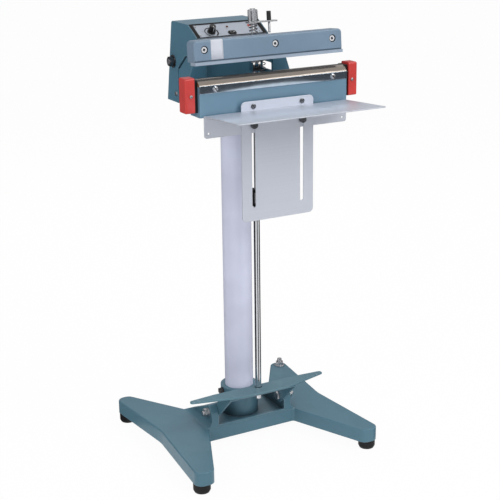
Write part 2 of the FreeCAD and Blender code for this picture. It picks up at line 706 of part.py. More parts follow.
def rod_fork():
    """The upper rod with its fork: two prongs round the eye of the pressure stud."""
    half = s.fork_gap / 2
    depth = s.fork_depth / 2
    foot = -s.turnbuckle_drop - s.turnbuckle_length / 2
    stem = cylinder(s.upper_rod_radius, (0, 0, foot), fork_low - foot)
    neck = cone(s.upper_rod_radius, s.fork_neck_radius, (0, 0, neck_low), s.fork_neck)
    block = box((-fork_half, -depth, fork_low), (fork_half, depth, 0))
    crown = cylinder(depth, (-fork_half, 0, 0), fork_half * 2, "x")
    gap = box((-half, -depth * 2, -s.fork_crotch), (half, depth * 2, depth * 2))
    hole = cylinder(s.fork_pin_radius + s.fit, (-fork_half, 0, 0), fork_half * 2, "x")
    node(cut(fuse(stem, neck, block, crown), gap, hole), "rod_fork", ROD)
    pin_end = fork_half + s.fork_pin_tail
    pin = cylinder(s.fork_pin_radius, (-fork_half, 0, 0), fork_half + pin_end, "x")
    head = cylinder(s.fork_pin_head, (-fork_half - s.fork_pin_head_height, 0, 0),
                    s.fork_pin_head_height, "x")
    node(fuse(pin, head), "fork_pin", ROD)


# Head frame, control cover and what they hold

def frame_back(height):
    """The frame's rear edge, just inside the leaning back of the cover."""
    sheet = s.cover_sheet * 1.1 + s.running_gap
    return s.cover_back_low - cover_lean * height - sheet


def head_frame():
    """A folded frame: a bed, two side plates, front flanges and the socket on the column."""
    item = body("head_frame")
    inner = s.frame_half - s.frame_plate
    side = sketch_on(item, "YZ_Plane")
    outline(side, [(-s.frame_front, 0), (frame_back(0), 0), (frame_back(s.frame_height), s.frame_height),
                   (-s.frame_front, s.frame_height)])
    pad(item, side, s.frame_half * 2, middle=True)
    hollow = sketch_on(item, "YZ_Plane")
    rectangle(hollow, (-s.frame_front * 2, s.bed_thickness), (s.cover_back_low * 2, s.frame_height * 2))
    pocket(item, hollow, inner * 2, middle=True)
    reach = s.frame_half + s.flange_reach
    flanges = sketch_on(item, "XZ_Plane", s.frame_front - s.frame_plate / 2)
    flange = [(inner, s.flange_low), (reach, s.flange_low), (reach, s.flange_knee),
              (s.frame_half + s.flange_top_reach, s.frame_height), (inner, s.frame_height)]
    outline(flanges, flange)
    outline(flanges, mirrored(flange))
    pad(item, flanges, s.frame_plate, middle=True)
    corners = [(reach, s.flange_low), (-reach, s.flange_low)]
    dress(item, "Fillet", s.flange_round, corner_edges(item, 1, corners))
    side_window(item)
    side_slots(item)
    pivot = sketch_on(item, "YZ_Plane")
    circle(pivot, (s.pivot_back, s.pivot_rise), s.pivot_radius + s.fit)
    pocket(item, pivot, s.frame_half * 3, middle=True)
    socket = sketch_on(item, "XY_Plane")
    circle(socket, (0, s.column_back), s.head_socket_radius)
    circle(socket, (0, s.column_back), s.column_radius + s.fit)
    pad(item, socket, s.head_socket_depth, reverse=True)
    node(item, "head_frame", HEAD)


def side_window(item):
    """A window with round corners in the right-hand side plate."""
    high = s.frame_height - s.window_drop
    low = high - s.window_height
    window = sketch_on(item, "YZ_Plane", s.frame_half)
    rectangle(window, (s.window_front, low), (s.window_back, high))
    pocket(item, window, s.frame_plate * 3, middle=True)
    corners = [(y, z) for y in (s.window_front, s.window_back) for z in (low, high)]
    dress(item, "Fillet", s.window_round, corner_edges(item, 0, corners))


def side_slots(item):
    """An open slot in both side plates, just below the stepped edge of the cover."""
    gap = s.side_slot
    ledge = s.frame_height - gap / 2
    slot = sketch_on(item, "YZ_Plane")
    outline(slot, [(s.notch_back, s.notch_rise), (s.lip_back, s.lip_rise - s.lip_drop),
                   (s.lip_back, cover_height), (s.side_slot_front, cover_height),
                   (s.side_slot_front, ledge), (s.lip_back - gap, ledge),
                   (s.notch_back - gap, s.notch_rise - gap / 2)])
    pocket(item, slot, s.frame_half * 3, middle=True)


def control_cover():
    """A hood with two shaped sides, a top and a leaning back; its sloped face takes the panel."""
    item = body("control_cover")
    back_top = (s.cover_back_high, cover_height)
    side = [(s.cover_back_low, 0), back_top, (panel_back, cover_height),
            (s.panel_front_back, s.panel_rise), (s.panel_front_back, s.lip_rise),
            (s.lip_back, s.lip_rise - s.lip_drop), (s.notch_back, s.notch_rise), (s.notch_back, 0)]
    profile = sketch_on(item, "YZ_Plane")
    outline(profile, side)
    pad(item, profile, cover_half * 2, middle=True)
    dress(item, "Fillet", s.cover_round, corner_edges(item, 0, [back_top]))
    under = cover_height - s.cover_sheet
    inside_back = s.cover_back_low - s.cover_sheet * 1.02
    inside = sketch_on(item, "YZ_Plane")
    below = -cover_height
    brow = panel_back + s.cover_sheet * sine(s.panel_slope) / cosine(s.panel_slope)
    outline(inside, [(inside_back + cover_lean * cover_height, below),
                     (inside_back - cover_lean * under, under), (brow, under),
                     (panel_back, cover_height), (panel_back, cover_height * 2), (-s.cover_back_low, cover_height * 2),
                     (-s.cover_back_low, below)])
    pocket(item, inside, s.frame_half * 2, middle=True)
    pivot = sketch_on(item, "YZ_Plane")
    circle(pivot, (s.pivot_back, s.pivot_rise), s.pivot_radius + s.fit)
    pocket(item, pivot, cover_half * 3, middle=True)
    node(item, "control_cover", HEAD)


def cover_screws():
    spot = (s.cover_screw_back, s.cover_screw_rise)
    heads = [cylinder(s.cover_screw_radius, (cover_half, *spot), s.cover_screw_height, "x"),
             cylinder(s.cover_screw_radius, (-cover_half - s.cover_screw_height, *spot),
                      s.cover_screw_height, "x")]
    node(group(heads), "cover_screws", HEAD)


front_cover_face = s.front_cover_set - s.frame_front


def front_cover():
    """A plate set back between the side plates; it closes the front of the bay."""
    left = s.frame_plate - s.frame_half
    sheet = box((left, front_cover_face, s.bed_thickness),
                (s.front_cover_right, front_cover_face + s.front_cover_sheet, s.frame_height))
    node(group([sheet]), "front_cover", HEAD)


def pivot_shaft():
    """The arm's shaft through both side plates, with spacers inside and nuts outside."""
    spot = (s.pivot_back, s.pivot_rise)
    washer_end = cover_half + s.pivot_washer_thickness
    nut_end = washer_end + s.pivot_nut_height
    node(group([cylinder(s.pivot_radius, (-nut_end, *spot), nut_end * 2, "x")]), "arm_pivot_shaft", HEAD)
    bore = s.pivot_radius + s.fit
    inner = s.frame_half - s.frame_plate
    spacer_start = s.arm_half + s.running_gap
    nuts, spacers = [], []
    for side in (1, -1):
        def across(radius, near, far, make=cylinder):
            start = near if side > 0 else -far
            return make(radius, (start, *spot), far - near, "x")
        washer = across(s.pivot_washer_radius, cover_half, washer_end)
        nuts.append(cut(washer, across(bore, cover_half, washer_end)))
        nut = across(s.pivot_nut_radius, washer_end, nut_end, hexagon)
        nuts.append(cut(nut, across(bore, washer_end, nut_end)))
        spacer = across(s.pivot_spacer_radius, spacer_start, inner)
        spacers.append(cut(spacer, across(bore, spacer_start, inner)))
    node(group(nuts), "pivot_nuts", HEAD)
    node(group(spacers), "pivot_spacers", HEAD)


def transformer():
    """Laminated core with its coil, bolted to the bed behind the front cover."""
    half = s.core_width / 2
    low = s.bed_thickness
    core = box((-half, s.core_back, low), (half, s.core_back + s.core_depth, low + s.core_height))
    coil_half = s.coil_width / 2
    coil_low = low + (s.core_height - s.coil_height) / 2
    coil = box((-coil_half, s.core_back - s.coil_overhang, coil_low),
               (coil_half, s.core_back + s.core_depth + s.coil_overhang, coil_low + s.coil_height))
    node(fuse(core, coil), "transformer", HEAD)


def cable_gland():
    spot = (-s.gland_x, s.gland_back)
    nut = hexagon(s.gland_nut_radius, (*spot, -s.gland_nut_height), s.gland_nut_height)
    stem = cylinder(s.gland_radius, (*spot, -s.gland_length), s.gland_length)
    bore = cylinder(s.gland_bore, (*spot, -s.gland_length), s.gland_length)
    node(cut(fuse(nut, stem), bore), "cable_gland", HEAD)


# Control panel, in its own sloped frame: +Y up the slope, z = 0 at the cover's edges

panel_top = -s.panel_recess
panel_under = panel_top - s.panel_sheet
panel_end = s.panel_depth - s.panel_inset
rocker_gap = s.rocker_play
rocker_half_x = s.rocker_length / 2
rocker_half_y = s.rocker_width / 2


def switch_window(low, high):
    half_x = rocker_half_x + rocker_gap
    half_y = rocker_half_y + rocker_gap
    return box((s.switch_x - half_x, s.switch_y - half_y, low),
               (s.switch_x + half_x, s.switch_y + half_y, high))


def control_panel():
    plate = box((-s.frame_half, s.panel_inset, panel_under), (s.frame_half, panel_end, panel_top))
    shaft_hole = cylinder(s.timer_shaft_radius + s.fit, (s.timer_x, s.timer_y, panel_under), s.panel_sheet)
    node(cut(plate, shaft_hole, switch_window(panel_under, panel_top)), "control_panel", PANEL)
    inner = s.frame_half - s.gasket_side
    rim = box((-s.frame_half, s.panel_inset, panel_top), (s.frame_half, panel_end, 0))
    hole = box((-inner, s.panel_inset + s.gasket_bottom, panel_top), (inner, panel_end - s.gasket_top, 0))
    node(cut(rim, hole), "panel_gasket", PANEL)
    screws = []
    for x in (s.panel_screw_inset_x - s.frame_half, s.frame_half - s.panel_screw_inset_x):
        for y in (s.panel_screw_inset_y, s.panel_depth - s.panel_screw_inset_y):
            screws.append(cylinder(s.panel_screw_radius, (x, y, panel_top), s.panel_screw_height))
    node(group(screws), "panel_screws", PANEL)


def timer():
    spot = (s.timer_x, s.timer_y)
    board_low = panel_under - s.timer_pot_depth - s.timer_board_thickness
    bore = s.timer_shaft_radius + s.fit
    pot = cut(cylinder(s.timer_pot_radius, (*spot, panel_under - s.timer_pot_depth), s.timer_pot_depth),
              cylinder(bore, (*spot, panel_under - s.timer_pot_depth / 2), s.timer_pot_depth / 2))
    board = box((s.timer_x - s.timer_board_x / 3, s.timer_y - s.timer_board_y / 3, board_low),
                (s.timer_x + s.timer_board_x * 2 / 3, s.timer_y + s.timer_board_y * 2 / 3,
                 board_low + s.timer_board_thickness))
    node(fuse(pot, board), "timer_board", PANEL)
    item = body("timer_knob")
    skirt_low = panel_top + s.timer_lift
    skirt = sketch_on(item, "XY_Plane", skirt_low)
    circle(skirt, (0, 0), s.timer_skirt_radius)
    pad(item, skirt, s.timer_skirt_height)
    grip = sketch_on(item, "XY_Plane", skirt_low)
    circle(grip, (0, 0), s.timer_knob_radius)
    pad(item, grip, s.timer_knob_height)
    flute = sketch_on(item, "XY_Plane", skirt_low + s.timer_skirt_height)
    circle(flute, (s.timer_knob_radius, 0), s.timer_flute_radius)
    around(item, pocket(item, flute, s.timer_knob_height * 2, reverse=True), FLUTES["timer_knob"])
    shaft = sketch_on(item, "XY_Plane", skirt_low)
    circle(shaft, (0, 0), s.timer_shaft_radius)
    pad(item, shaft, s.timer_lift + s.panel_sheet + s.timer_pot_depth / 4, reverse=True)
    seat_on_panel(item, "timer_knob", spot)


def seat_on_panel(item, name, spot):
    """A body drawn about its own axis, seated at a spot on the sloped panel."""
    x, y = spot
    base_y = PANEL["at"][1] + y * cosine(s.panel_slope)
    base_z = PANEL["at"][2] + y * sine(s.panel_slope)
    node(item, name, {"at": (x, base_y, base_z), "turn": s.panel_slope})


def power_switch():
    item = body("switch_bezel")
    half_x = rocker_half_x + rocker_gap
    half_y = rocker_half_y + rocker_gap
    ring = sketch_on(item, "XY_Plane", panel_top)
    rim_x = half_x + s.bezel_rim
    rim_y = half_y + s.bezel_rim
    rectangle(ring, (-rim_x, -rim_y), (rim_x, rim_y))
    pad(item, ring, s.bezel_height)
    outer = [(rim_x, rim_y), (rim_x, -rim_y)]
    dress(item, "Fillet", half_y, corner_edges(item, 2, outer + mirrored(outer)))
    hole = sketch_on(item, "XY_Plane", panel_top)
    rectangle(hole, (-half_x, -half_y), (half_x, half_y))
    pocket(item, hole, s.bezel_height * 3, middle=True)
    seat_on_panel(item, "switch_bezel", (s.switch_x, s.switch_y))
    rocker = body("power_rocker")
    low = panel_top - s.rocker_depth
    ridge = panel_top + s.rocker_rise
    dip = ridge - s.rocker_rise / 3
    profile = sketch_on(rocker, "XZ_Plane")
    outline(profile, [(-rocker_half_x, low), (rocker_half_x, low), (rocker_half_x, ridge),
                      (0, dip), (-rocker_half_x, ridge)])
    pad(rocker, profile, s.rocker_width, middle=True)
    pin = sketch_on(rocker, "XZ_Plane")
    circle(pin, (0, panel_top - s.rocker_pin_drop), s.rocker_pin_radius)
    pad(rocker, pin, s.rocker_width + (rocker_gap - s.running_gap) * 2, middle=True)
    seat_on_panel(rocker, "power_rocker", (s.switch_x, s.switch_y))


def lamps():
    for name, x, y, radius in (("power_lamp", s.power_lamp_x, s.power_lamp_y, s.power_lamp_radius),
                               ("heat_lamp", s.heat_lamp_x, s.heat_lamp_y, s.heat_lamp_radius)):
        collar = cylinder(radius + s.lamp_collar, (x, y, panel_top), s.lamp_collar_height)
        stem = cylinder(radius, (x, y, panel_top), s.lamp_rise - radius / 2)
        dome = cone(radius, radius / 2, (x, y, panel_top + s.lamp_rise - radius / 2), radius / 2)
        node(fuse(collar, stem, dome), name, PANEL)


# Lower jaw with its heating ribbon, clamp strip and end caps

def slotted_screw(x, y, z, head_radius):
    """A small screw seen from the front: a head in front of the face at y, its shank behind."""
    head = cylinder(head_radius, (x, y - s.small_head_height, z), s.small_head_height, "y")
    shank = cylinder(s.small_screw_radius, (x, y, z), s.small_screw_length, "y")
    return fuse(head, shank)


def screw_hole(x, y, z):
    depth = s.small_screw_length + s.fit
    return cylinder(s.small_screw_radius + s.fit, (x, y, z), depth, "y")


strip_low = jaw_top + s.strip_overlap - s.strip_height
strip_screw_z = strip_low + s.strip_height / 2
cap_face = jaw_half + s.insulator_thickness
cap_screw_x = cap_face + s.cap_thickness - s.cap_screw_inset


def lower_jaw():
    bar = box((-jaw_half, -s.jaw_front, s.jaw_low), (jaw_half, -jaw_back, jaw_top))
    holes = [screw_hole(x, -s.jaw_front, s.apron_screw_rise) for x in (-s.apron_screw_x, s.apron_screw_x)]
    holes += [screw_hole(x, -s.jaw_front, strip_screw_z) for x in (-s.strip_screw_x, s.strip_screw_x)]
    node(cut(bar, *holes), "lower_jaw", HEAD)


def jaw_crown():
    half = s.jaw_depth / 2 - s.skin_thickness
    middle = s.jaw_depth / 2 - s.jaw_front
    shoulder = jaw_top + s.crown_shoulder
    rise = s.crown_height - s.crown_shoulder
    radius = (half * half + rise * rise) / (2 * rise)
    centre = (middle, crown_top - radius)
    crown = body("crown_block")
    drawing = sketch_on(crown, "YZ_Plane")
    outline(drawing, [(middle - half, jaw_top), (middle + half, jaw_top), (middle + half, shoulder),
                      (middle - half, shoulder)], {2: centre})
    pad(crown, drawing, s.jaw_length, middle=True)
    groove_half = s.ribbon_width / 2
    groove_low = crown_top - s.ribbon_thickness * 2
    groove = box((-jaw_half, middle - groove_half, groove_low), (jaw_half, middle + groove_half, crown_top))
    node(cut(crown, groove), "jaw_crown", HEAD)
    ribbon = box((-jaw_half, middle - groove_half, groove_low),
                 (jaw_half, middle + groove_half, groove_low + s.ribbon_thickness))
    node(group([ribbon]), "heating_ribbon", HEAD)
    skin = body("seal_skin")
    wide = half + s.skin_thickness
    drawing = sketch_on(skin, "YZ_Plane")
    points = [(middle - wide, jaw_top), (middle - half, jaw_top), (middle - half, shoulder),
              (middle + half, shoulder), (middle + half, jaw_top), (middle + wide, jaw_top),
              (middle + wide, shoulder), (middle - wide, shoulder)]
    top = crown_top + s.skin_thickness
    outer_rise = top - shoulder
    outer_radius = (wide * wide + outer_rise * outer_rise) / (2 * outer_rise)
    outline(drawing, points, {2: centre, 6: (middle, top - outer_radius)})
    pad(skin, drawing, s.jaw_length, middle=True)
    node(skin, "seal_skin", HEAD)


def clamp_strip():
    face = s.jaw_front + s.strip_sheet
    strip = box((-jaw_half, -face, strip_low), (jaw_half, -s.jaw_front, strip_low + s.strip_height))
    holes = [screw_hole(x, -face, strip_screw_z) for x in (-s.strip_screw_x, s.strip_screw_x)]
    node(cut(strip, *holes), "clamp_strip", HEAD)
    screws = [slotted_screw(x, -face, strip_screw_z, s.small_head_radius)
              for x in (-s.strip_screw_x, s.strip_screw_x)]
    cap_z = s.cap_low + s.cap_screw_rise
    screws += [slotted_screw(x, -s.cap_front, cap_z, s.cap_screw_head) for x in (-cap_screw_x, cap_screw_x)]
    node(group(screws), "jaw_screws_small", HEAD)


def jaw_ends():
    """Insulators on the jaw's two ends and the moulded caps outside them."""
    insulators = []
    for start in (-cap_face, jaw_half):
        insulators.append(box((start, s.insulator_inset - s.jaw_front, s.jaw_low + s.insulator_low),
                              (start + s.insulator_thickness, -jaw_back - s.insulator_inset, crown_top)))
    node(group(insulators), "end_insulators", HEAD)
    cap_top = s.cap_low + s.cap_height
    cap_back = s.cap_depth - s.cap_front
    for name, start, screw_x in (("end_cap_left", -cap_face - s.cap_thickness, -cap_screw_x),
                                 ("end_cap_right", cap_face, cap_screw_x)):
        item = body(name)
        drawing = sketch_on(item, "YZ_Plane", start)
        rectangle(drawing, (-s.cap_front, s.cap_low), (cap_back, cap_top))
        pad(item, drawing, s.cap_thickness)
        corners = [(y, z) for y in (-s.cap_front, cap_back) for z in (s.cap_low, cap_top)]
        dress(item, "Fillet", s.cap_round, corner_edges(item, 0, corners))
        outer = start if start.value < 0 else start + s.cap_thickness
        rim = edges_where(item, lambda edge: abs(edge.BoundBox.XMin - outer.value) < 0.01
                          and abs(edge.BoundBox.XMax - outer.value) < 0.01)
        dress(item, "Fillet", s.cap_round - s.running_gap, rim)
        hole = sketch_on(item, "XZ_Plane", s.cap_front)
        circle(hole, (screw_x, s.cap_low + s.cap_screw_rise), s.small_screw_radius + s.fit)
        pocket(item, hole, (s.small_screw_length + s.fit) * 2, middle=True)
        node(item, name, HEAD)


def jaw_supports():
    half = s.support_thickness / 2
    high = s.flange_low + s.support_height
    plates = [box((x - half, -jaw_back, s.flange_low), (x + half, -s.frame_front, high))
              for x in (-s.support_x, s.support_x)]
    node(group(plates), "jaw_supports", HEAD)


# Bag apron on the jaw and the shelf that slides along its slots

def bag_apron():
    item = body("bag_apron")
    half = s.apron_width / 2
    corners = [(-half, -s.apron_bottom), (half, -s.apron_bottom), (half, s.apron_top), (-half, s.apron_top)]
    sheet = sketch_on(item, "XZ_Plane", apron_back + s.apron_sheet / 2)
    outline(sheet, corners)
    pad(item, sheet, s.apron_sheet, middle=True)
    dress(item, "Fillet", s.apron_round, corner_edges(item, 1, corners))
    holes = sketch_on(item, "XZ_Plane", apron_back)
    half_slot = s.slot_width / 2
    for x in (-s.apron_screw_x, s.apron_screw_x):
        circle(holes, (x, s.apron_screw_rise), s.small_screw_radius + s.fit)
        low = half_slot - s.slot_bottom
        high = s.slot_top - half_slot
        left = x - half_slot
        right = x + half_slot
        outline(holes, [(left, low), (right, low), (right, high), (left, high)],
                {0: (x, low), 2: (x, high)})
    pocket(item, holes, s.apron_sheet * 4, middle=True)
    node(item, "bag_apron", HEAD)
    spacers, screws = [], []
    for x in (-s.apron_screw_x, s.apron_screw_x):
        spot = (x, -apron_back, s.apron_screw_rise)
        tube = cylinder(s.apron_spacer_radius, spot, s.apron_spacer, "y")
        bore = cylinder(s.small_screw_radius + s.fit, spot, s.apron_spacer, "y")
        spacers.append(cut(tube, bore))
        screws.append(slotted_screw(x, -apron_face, s.apron_screw_rise, s.small_head_radius))
    node(group(spacers), "apron_spacers", HEAD)
    node(group(screws), "apron_screws", HEAD)


def work_shelf():
    """A folded sheet: the tilted shelf with a slit for the apron, and a flange behind the apron."""
    half = s.shelf_width / 2
    deck = body("shelf_deck")
    corners = [(-half, -s.shelf_depth), (half, -s.shelf_depth)]
    plan = sketch_on(deck, "XY_Plane")
    rectangle(plan, (-half, -s.shelf_depth), (half, 0))
    pad(deck, plan, s.shelf_sheet)
    dress(deck, "Fillet", s.shelf_round, corner_edges(deck, 2, corners))
    place(deck, (0, -shelf_bend, s.shelf_rise), angle=-s.shelf_tilt)
    flange = body("shelf_flange")
    low = s.shelf_rise - s.shelf_flange
    feet = [(-half, low), (half, low)]
    back = sketch_on(flange, "XZ_Plane", shelf_bend + s.shelf_sheet / 2)
    rectangle(back, feet[0], (half, s.shelf_rise + s.shelf_sheet * 3 / 4))
    pad(flange, back, s.shelf_sheet, middle=True)
    dress(flange, "Fillet", s.shelf_round, corner_edges(flange, 1, feet))
    holes = sketch_on(flange, "XZ_Plane", shelf_bend)
    for x in (-s.apron_screw_x, s.apron_screw_x):
        circle(holes, (x, s.clamp_rise), s.clamp_screw_radius + s.fit)
    for x in (s.flange_hole_inset - half, half - s.flange_hole_inset):
        circle(holes, (x, low + s.flange_hole_inset), s.flange_hole_radius)
    pocket(flange, holes, s.shelf_sheet * 4, middle=True)
    slit_half = s.apron_width / 2 + s.running_gap * 3
    slit = box((-slit_half, -apron_face - s.running_gap * 2, s.shelf_rise - s.shelf_sheet),
               (slit_half, -shelf_bend - s.shelf_sheet, s.shelf_rise + s.shelf_sheet * 3))
    node(cut(fuse(deck, flange), slit), "work_shelf", HEAD)


def shelf_clamps():
    """Fluted clamp screws through the apron's slots, with nuts behind the shelf's flange."""
    flange_back = -shelf_bend
    head_back = -apron_face - s.running_gap
    screws, nuts = [], []
    for x in (-s.apron_screw_x, s.apron_screw_x):
        head = cylinder(s.clamp_head_radius, (x, head_back - s.clamp_head_height, s.clamp_rise),
                        s.clamp_head_height, "y")
        nut_end = flange_back + s.clamp_nut_height
        shank = cylinder(s.clamp_screw_radius, (x, head_back, s.clamp_rise), nut_end - head_back, "y")
        screws.append(fuse(head, shank))
        spot = (x, flange_back, s.clamp_rise)
        nut = hexagon(s.clamp_nut_radius, spot, s.clamp_nut_height, "y")
        bore = cylinder(s.clamp_screw_radius + s.fit, spot, s.clamp_nut_height, "y")
        nuts.append(cut(nut, bore))
    node(group(screws), "clamp_screws", HEAD)
    node(group(nuts), "clamp_nuts", HEAD)


# Press arm, upper jaw and pressure gear, in the arm's frame with the pivot at its origin

pad_low = crown_top + s.skin_thickness + s.pad_gap - s.pivot_rise
pad_high = pad_low + s.pad_height
upper_jaw_back = s.upper_jaw_front - s.upper_jaw_depth
arm_inner = s.arm_half - s.arm_plate
deck_high = s.deck_low + s.deck_thickness


def upper_jaw():
    """A bar with rounded front edges and a shadow rebate above its silicone strip."""
    item = body("upper_jaw_bar")
    low = pad_high
    top = low + s.upper_jaw_height
    face = -s.upper_jaw_front
    rebate = low + s.rebate_height
    section = sketch_on(item, "YZ_Plane")
    outline(section, [(face + s.rebate_depth, low), (-upper_jaw_back, low), (-upper_jaw_back, top),
                      (face, top), (face, rebate), (face + s.rebate_depth, rebate)])
    pad(item, section, s.jaw_length, middle=True)
    dress(item, "Fillet", s.upper_jaw_round, corner_edges(item, 1, [(-jaw_half, top), (jaw_half, top)]))
    rim = edges_where(item, lambda edge: abs(edge.BoundBox.YMin - face.value) < 0.01
                      and abs(edge.BoundBox.YMax - face.value) < 0.01
                      and edge.BoundBox.ZMax > rebate.value + 0.01)
    dress(item, "Fillet", s.upper_jaw_edge, rim)
    spots = [(x, s.jaw_screw_rise) for x in (-s.jaw_screw_x, s.jaw_screw_offset, s.jaw_screw_x)]
    recess = sketch_on(item, "XZ_Plane", s.upper_jaw_front)
    shank = sketch_on(item, "XZ_Plane", s.upper_jaw_front)
    for spot in spots:
        circle(recess, spot, s.jaw_screw_recess)
        circle(shank, spot, s.jaw_screw_radius + s.fit)
    pocket(item, recess, (s.jaw_screw_sink + s.jaw_screw_head_height) * 2, middle=True)
    pocket(item, shank, s.upper_jaw_depth * 3, middle=True)
    node(item, "upper_jaw", ARM)
    strip = box((-jaw_half, -s.pad_front, pad_low), (jaw_half, s.pad_width - s.pad_front, pad_high))
    node(group([strip]), "silicone_strip", ARM)
    screws = []
    seat = s.jaw_screw_sink + s.jaw_screw_head_height - s.upper_jaw_front
    for x, z in spots:
        front = (x, s.jaw_screw_sink - s.upper_jaw_front, z)
        head = cylinder(s.jaw_screw_head, front, s.jaw_screw_head_height, "y")
        stem = cylinder(s.jaw_screw_radius, (x, seat, z), -upper_jaw_back - seat, "y")
        socket = hexagon(s.jaw_screw_socket, front, s.jaw_screw_head_height / 2, "y")
        screws.append(cut(fuse(head, stem), socket))
    node(group(screws), "jaw_screws", ARM)


def arm_frame():
    """Two cheeks on the pivot, a deck for the pressure stud and a plate behind the upper jaw."""
    item = body("arm_frame")
    front = -upper_jaw_back
    high = s.arm_low + s.arm_height
    boss = s.arm_boss
    heel = [(boss * 3 / 4, boss), (boss, 0), (boss * 3 / 4, -boss * 6 / 7), (-boss / 2, -boss * 6 / 7)]
    side = sketch_on(item, "YZ_Plane")
    outline(side, [(front, s.arm_low), (-s.arm_heel, s.arm_low), heel[3], heel[2], heel[1], heel[0],
                   (-s.arm_knee, high), (front, high)])
    pad(item, side, s.arm_half * 2, middle=True)
    bends = [(-s.arm_knee, high), (-s.arm_heel, s.arm_low)]
    dress(item, "Fillet", s.arm_round, corner_edges(item, 0, bends))
    deck_front = front + s.arm_mount
    inside = sketch_on(item, "YZ_Plane")
    above = high * 2
    below = -boss * 2
    behind = boss * 2
    outline(inside, [(deck_front, above), (behind, above), (behind, below), (deck_front, below),
                     (deck_front, s.deck_low), (-s.deck_back, s.deck_low), (-s.deck_back, deck_high),
                     (deck_front, deck_high)])
    pocket(item, inside, arm_inner * 2, middle=True)
    pivot = sketch_on(item, "YZ_Plane")
    circle(pivot, (0, 0), s.pivot_radius + s.fit)
    pocket(item, pivot, s.arm_half * 3, middle=True)
    stud = sketch_on(item, "XY_Plane", s.deck_low)
    circle(stud, (0, -s.stud_front), s.stud_radius + s.fit)
    pocket(item, stud, s.deck_thickness * 4, middle=True)
    node(item, "arm_frame", ARM)


def microswitch():
    half_x = s.switch_block_x / 2
    half_y = s.switch_block_y / 2
    top = deck_high + s.switch_block_height
    block = box((s.stop_x - half_x, -s.stud_front - half_y, deck_high),
                (s.stop_x + half_x, half_y - s.stud_front, top))
    button = cylinder(s.switch_button_radius, (s.stop_x, -s.stud_front, top), s.switch_button_height)
    node(fuse(block, button), "microswitch", ARM)


bar_low = deck_high + s.spring_length
bar_high = bar_low + s.bar_thickness


def pressure_stud():
    """The stud that the rod pulls: a flat eye below, a long stem through the deck and spring."""
    y = -s.stud_front
    half = s.eye_thickness / 2
    eye = cylinder(s.eye_radius, (-half, y, s.eye_rise), s.eye_thickness, "x")
    neck_top = s.eye_rise + s.eye_radius + s.eye_neck
    neck = box((-half, y - s.eye_neck, s.eye_rise), (half, y + s.eye_neck, neck_top))
    stem_low = neck_top - s.eye_neck / 2
    stem_high = bar_high + s.knob_height + s.stud_tip
    stem = cylinder(s.stud_radius, (0, y, stem_low), stem_high - stem_low)
    hole = cylinder(s.fork_pin_radius + s.fit, (-half, y, s.eye_rise), s.eye_thickness, "x")
    node(cut(fuse(eye, neck, stem), hole), "pressure_stud", ARM)
    half_depth = s.bar_depth / 2
    bar = box((-s.bar_left, y - half_depth, bar_low), (s.bar_right, y + half_depth, bar_high))
    holes = [cylinder(s.stud_radius + s.fit, (0, y, bar_low), s.bar_thickness),
             cylinder(s.stop_radius + s.fit, (s.stop_x, y, bar_low), s.bar_thickness)]
    node(cut(bar, *holes), "stop_bar", ARM)


def seat_on_arm(item, name, x, y, z):
    """A body drawn about its own axis, seated at a point of the arm's frame."""
    turn_cos = cosine(s.open_angle)
    turn_sin = sine(s.open_angle)
    base_y = ARM["at"][1] + y * turn_cos + z * turn_sin
    base_z = ARM["at"][2] + z * turn_cos - y * turn_sin
    node(item, name, {"at": (x, base_y, base_z), "turn": -s.open_angle})


def fluted_grip(item, radius, height, flute, count):
    """A round grip with flutes along its side and a broken top edge."""
    grip = sketch_on(item, "XY_Plane")
    circle(grip, (0, 0), radius)
    pad(item, grip, height)
    dress(item, "Chamfer", s.knob_chamfer * radius / s.knob_radius, level_edges(item, height))
    groove = sketch_on(item, "XY_Plane")
    circle(groove, (radius, 0), flute)
    around(item, pocket(item, groove, height * 2, reverse=True), count)


def pressure_knob():
    item = body("pressure_knob")
    fluted_grip(item, s.knob_radius, s.knob_height, s.knob_flute_radius, FLUTES["pressure_knob"])
    bore = sketch_on(item, "XY_Plane")
    circle(bore, (0, 0), s.stud_radius + s.fit)
    pocket(item, bore, s.knob_height * 3, middle=True)
    seat_on_arm(item, "pressure_knob", 0, -s.stud_front, bar_high)


def stop_screw():
    item = body("stop_screw")
    fluted_grip(item, s.stop_head_radius, s.stop_head_height, s.stop_flute_radius, FLUTES["stop_screw"])
    shank = sketch_on(item, "XY_Plane")
    circle(shank, (0, 0), s.stop_radius)
    pad(item, shank, s.stop_length, reverse=True)
    seat_on_arm(item, "stop_screw", s.stop_x, -s.stud_front, bar_high)


# Springs: one round wire along a helix made of short tangent arcs

def tangent_arcs(start, start_way, end, end_way):
    """Two arcs that leave the start along one direction and reach the end along another."""
    chord = end - start
    both = start_way + end_way
    a = 2 * (start_way.dot(end_way) - 1)
    b = -2 * chord.dot(both)
    reach = (-b - math.sqrt(b * b - 4 * a * chord.dot(chord))) / (2 * a)
    first_corner = start + start_way * reach
    last_corner = end - end_way * reach
    joint = (first_corner + last_corner) * 0.5
    return [arc_by_corner(start, first_corner, joint), arc_by_corner(joint, last_corner, end)]


def arc_by_corner(start, corner, end):
    middle = (start + end) * 0.5
    half = (end - start).Length / 2
    depth = (corner - middle).Length
    bulge = half * math.tan(math.atan2(depth, half) / 2)
    return Part.Arc(start, middle + (corner - middle) * (bulge / depth), end)


def helix_spots(radius, length, turns):
    """Points and directions at each quarter turn of an upright helix about Z."""
    steps = int(round(turns * TURN_STEPS))
    climb = length / steps
    swing = 2 * math.pi / TURN_STEPS
    for step in range(steps + 1):
        angle = step * swing
        spot = Vector(radius * math.cos(angle), radius * math.sin(angle), climb * step)
        way = Vector(-radius * swing * math.sin(angle), radius * swing * math.cos(angle), climb)
        yield spot, way.normalize()


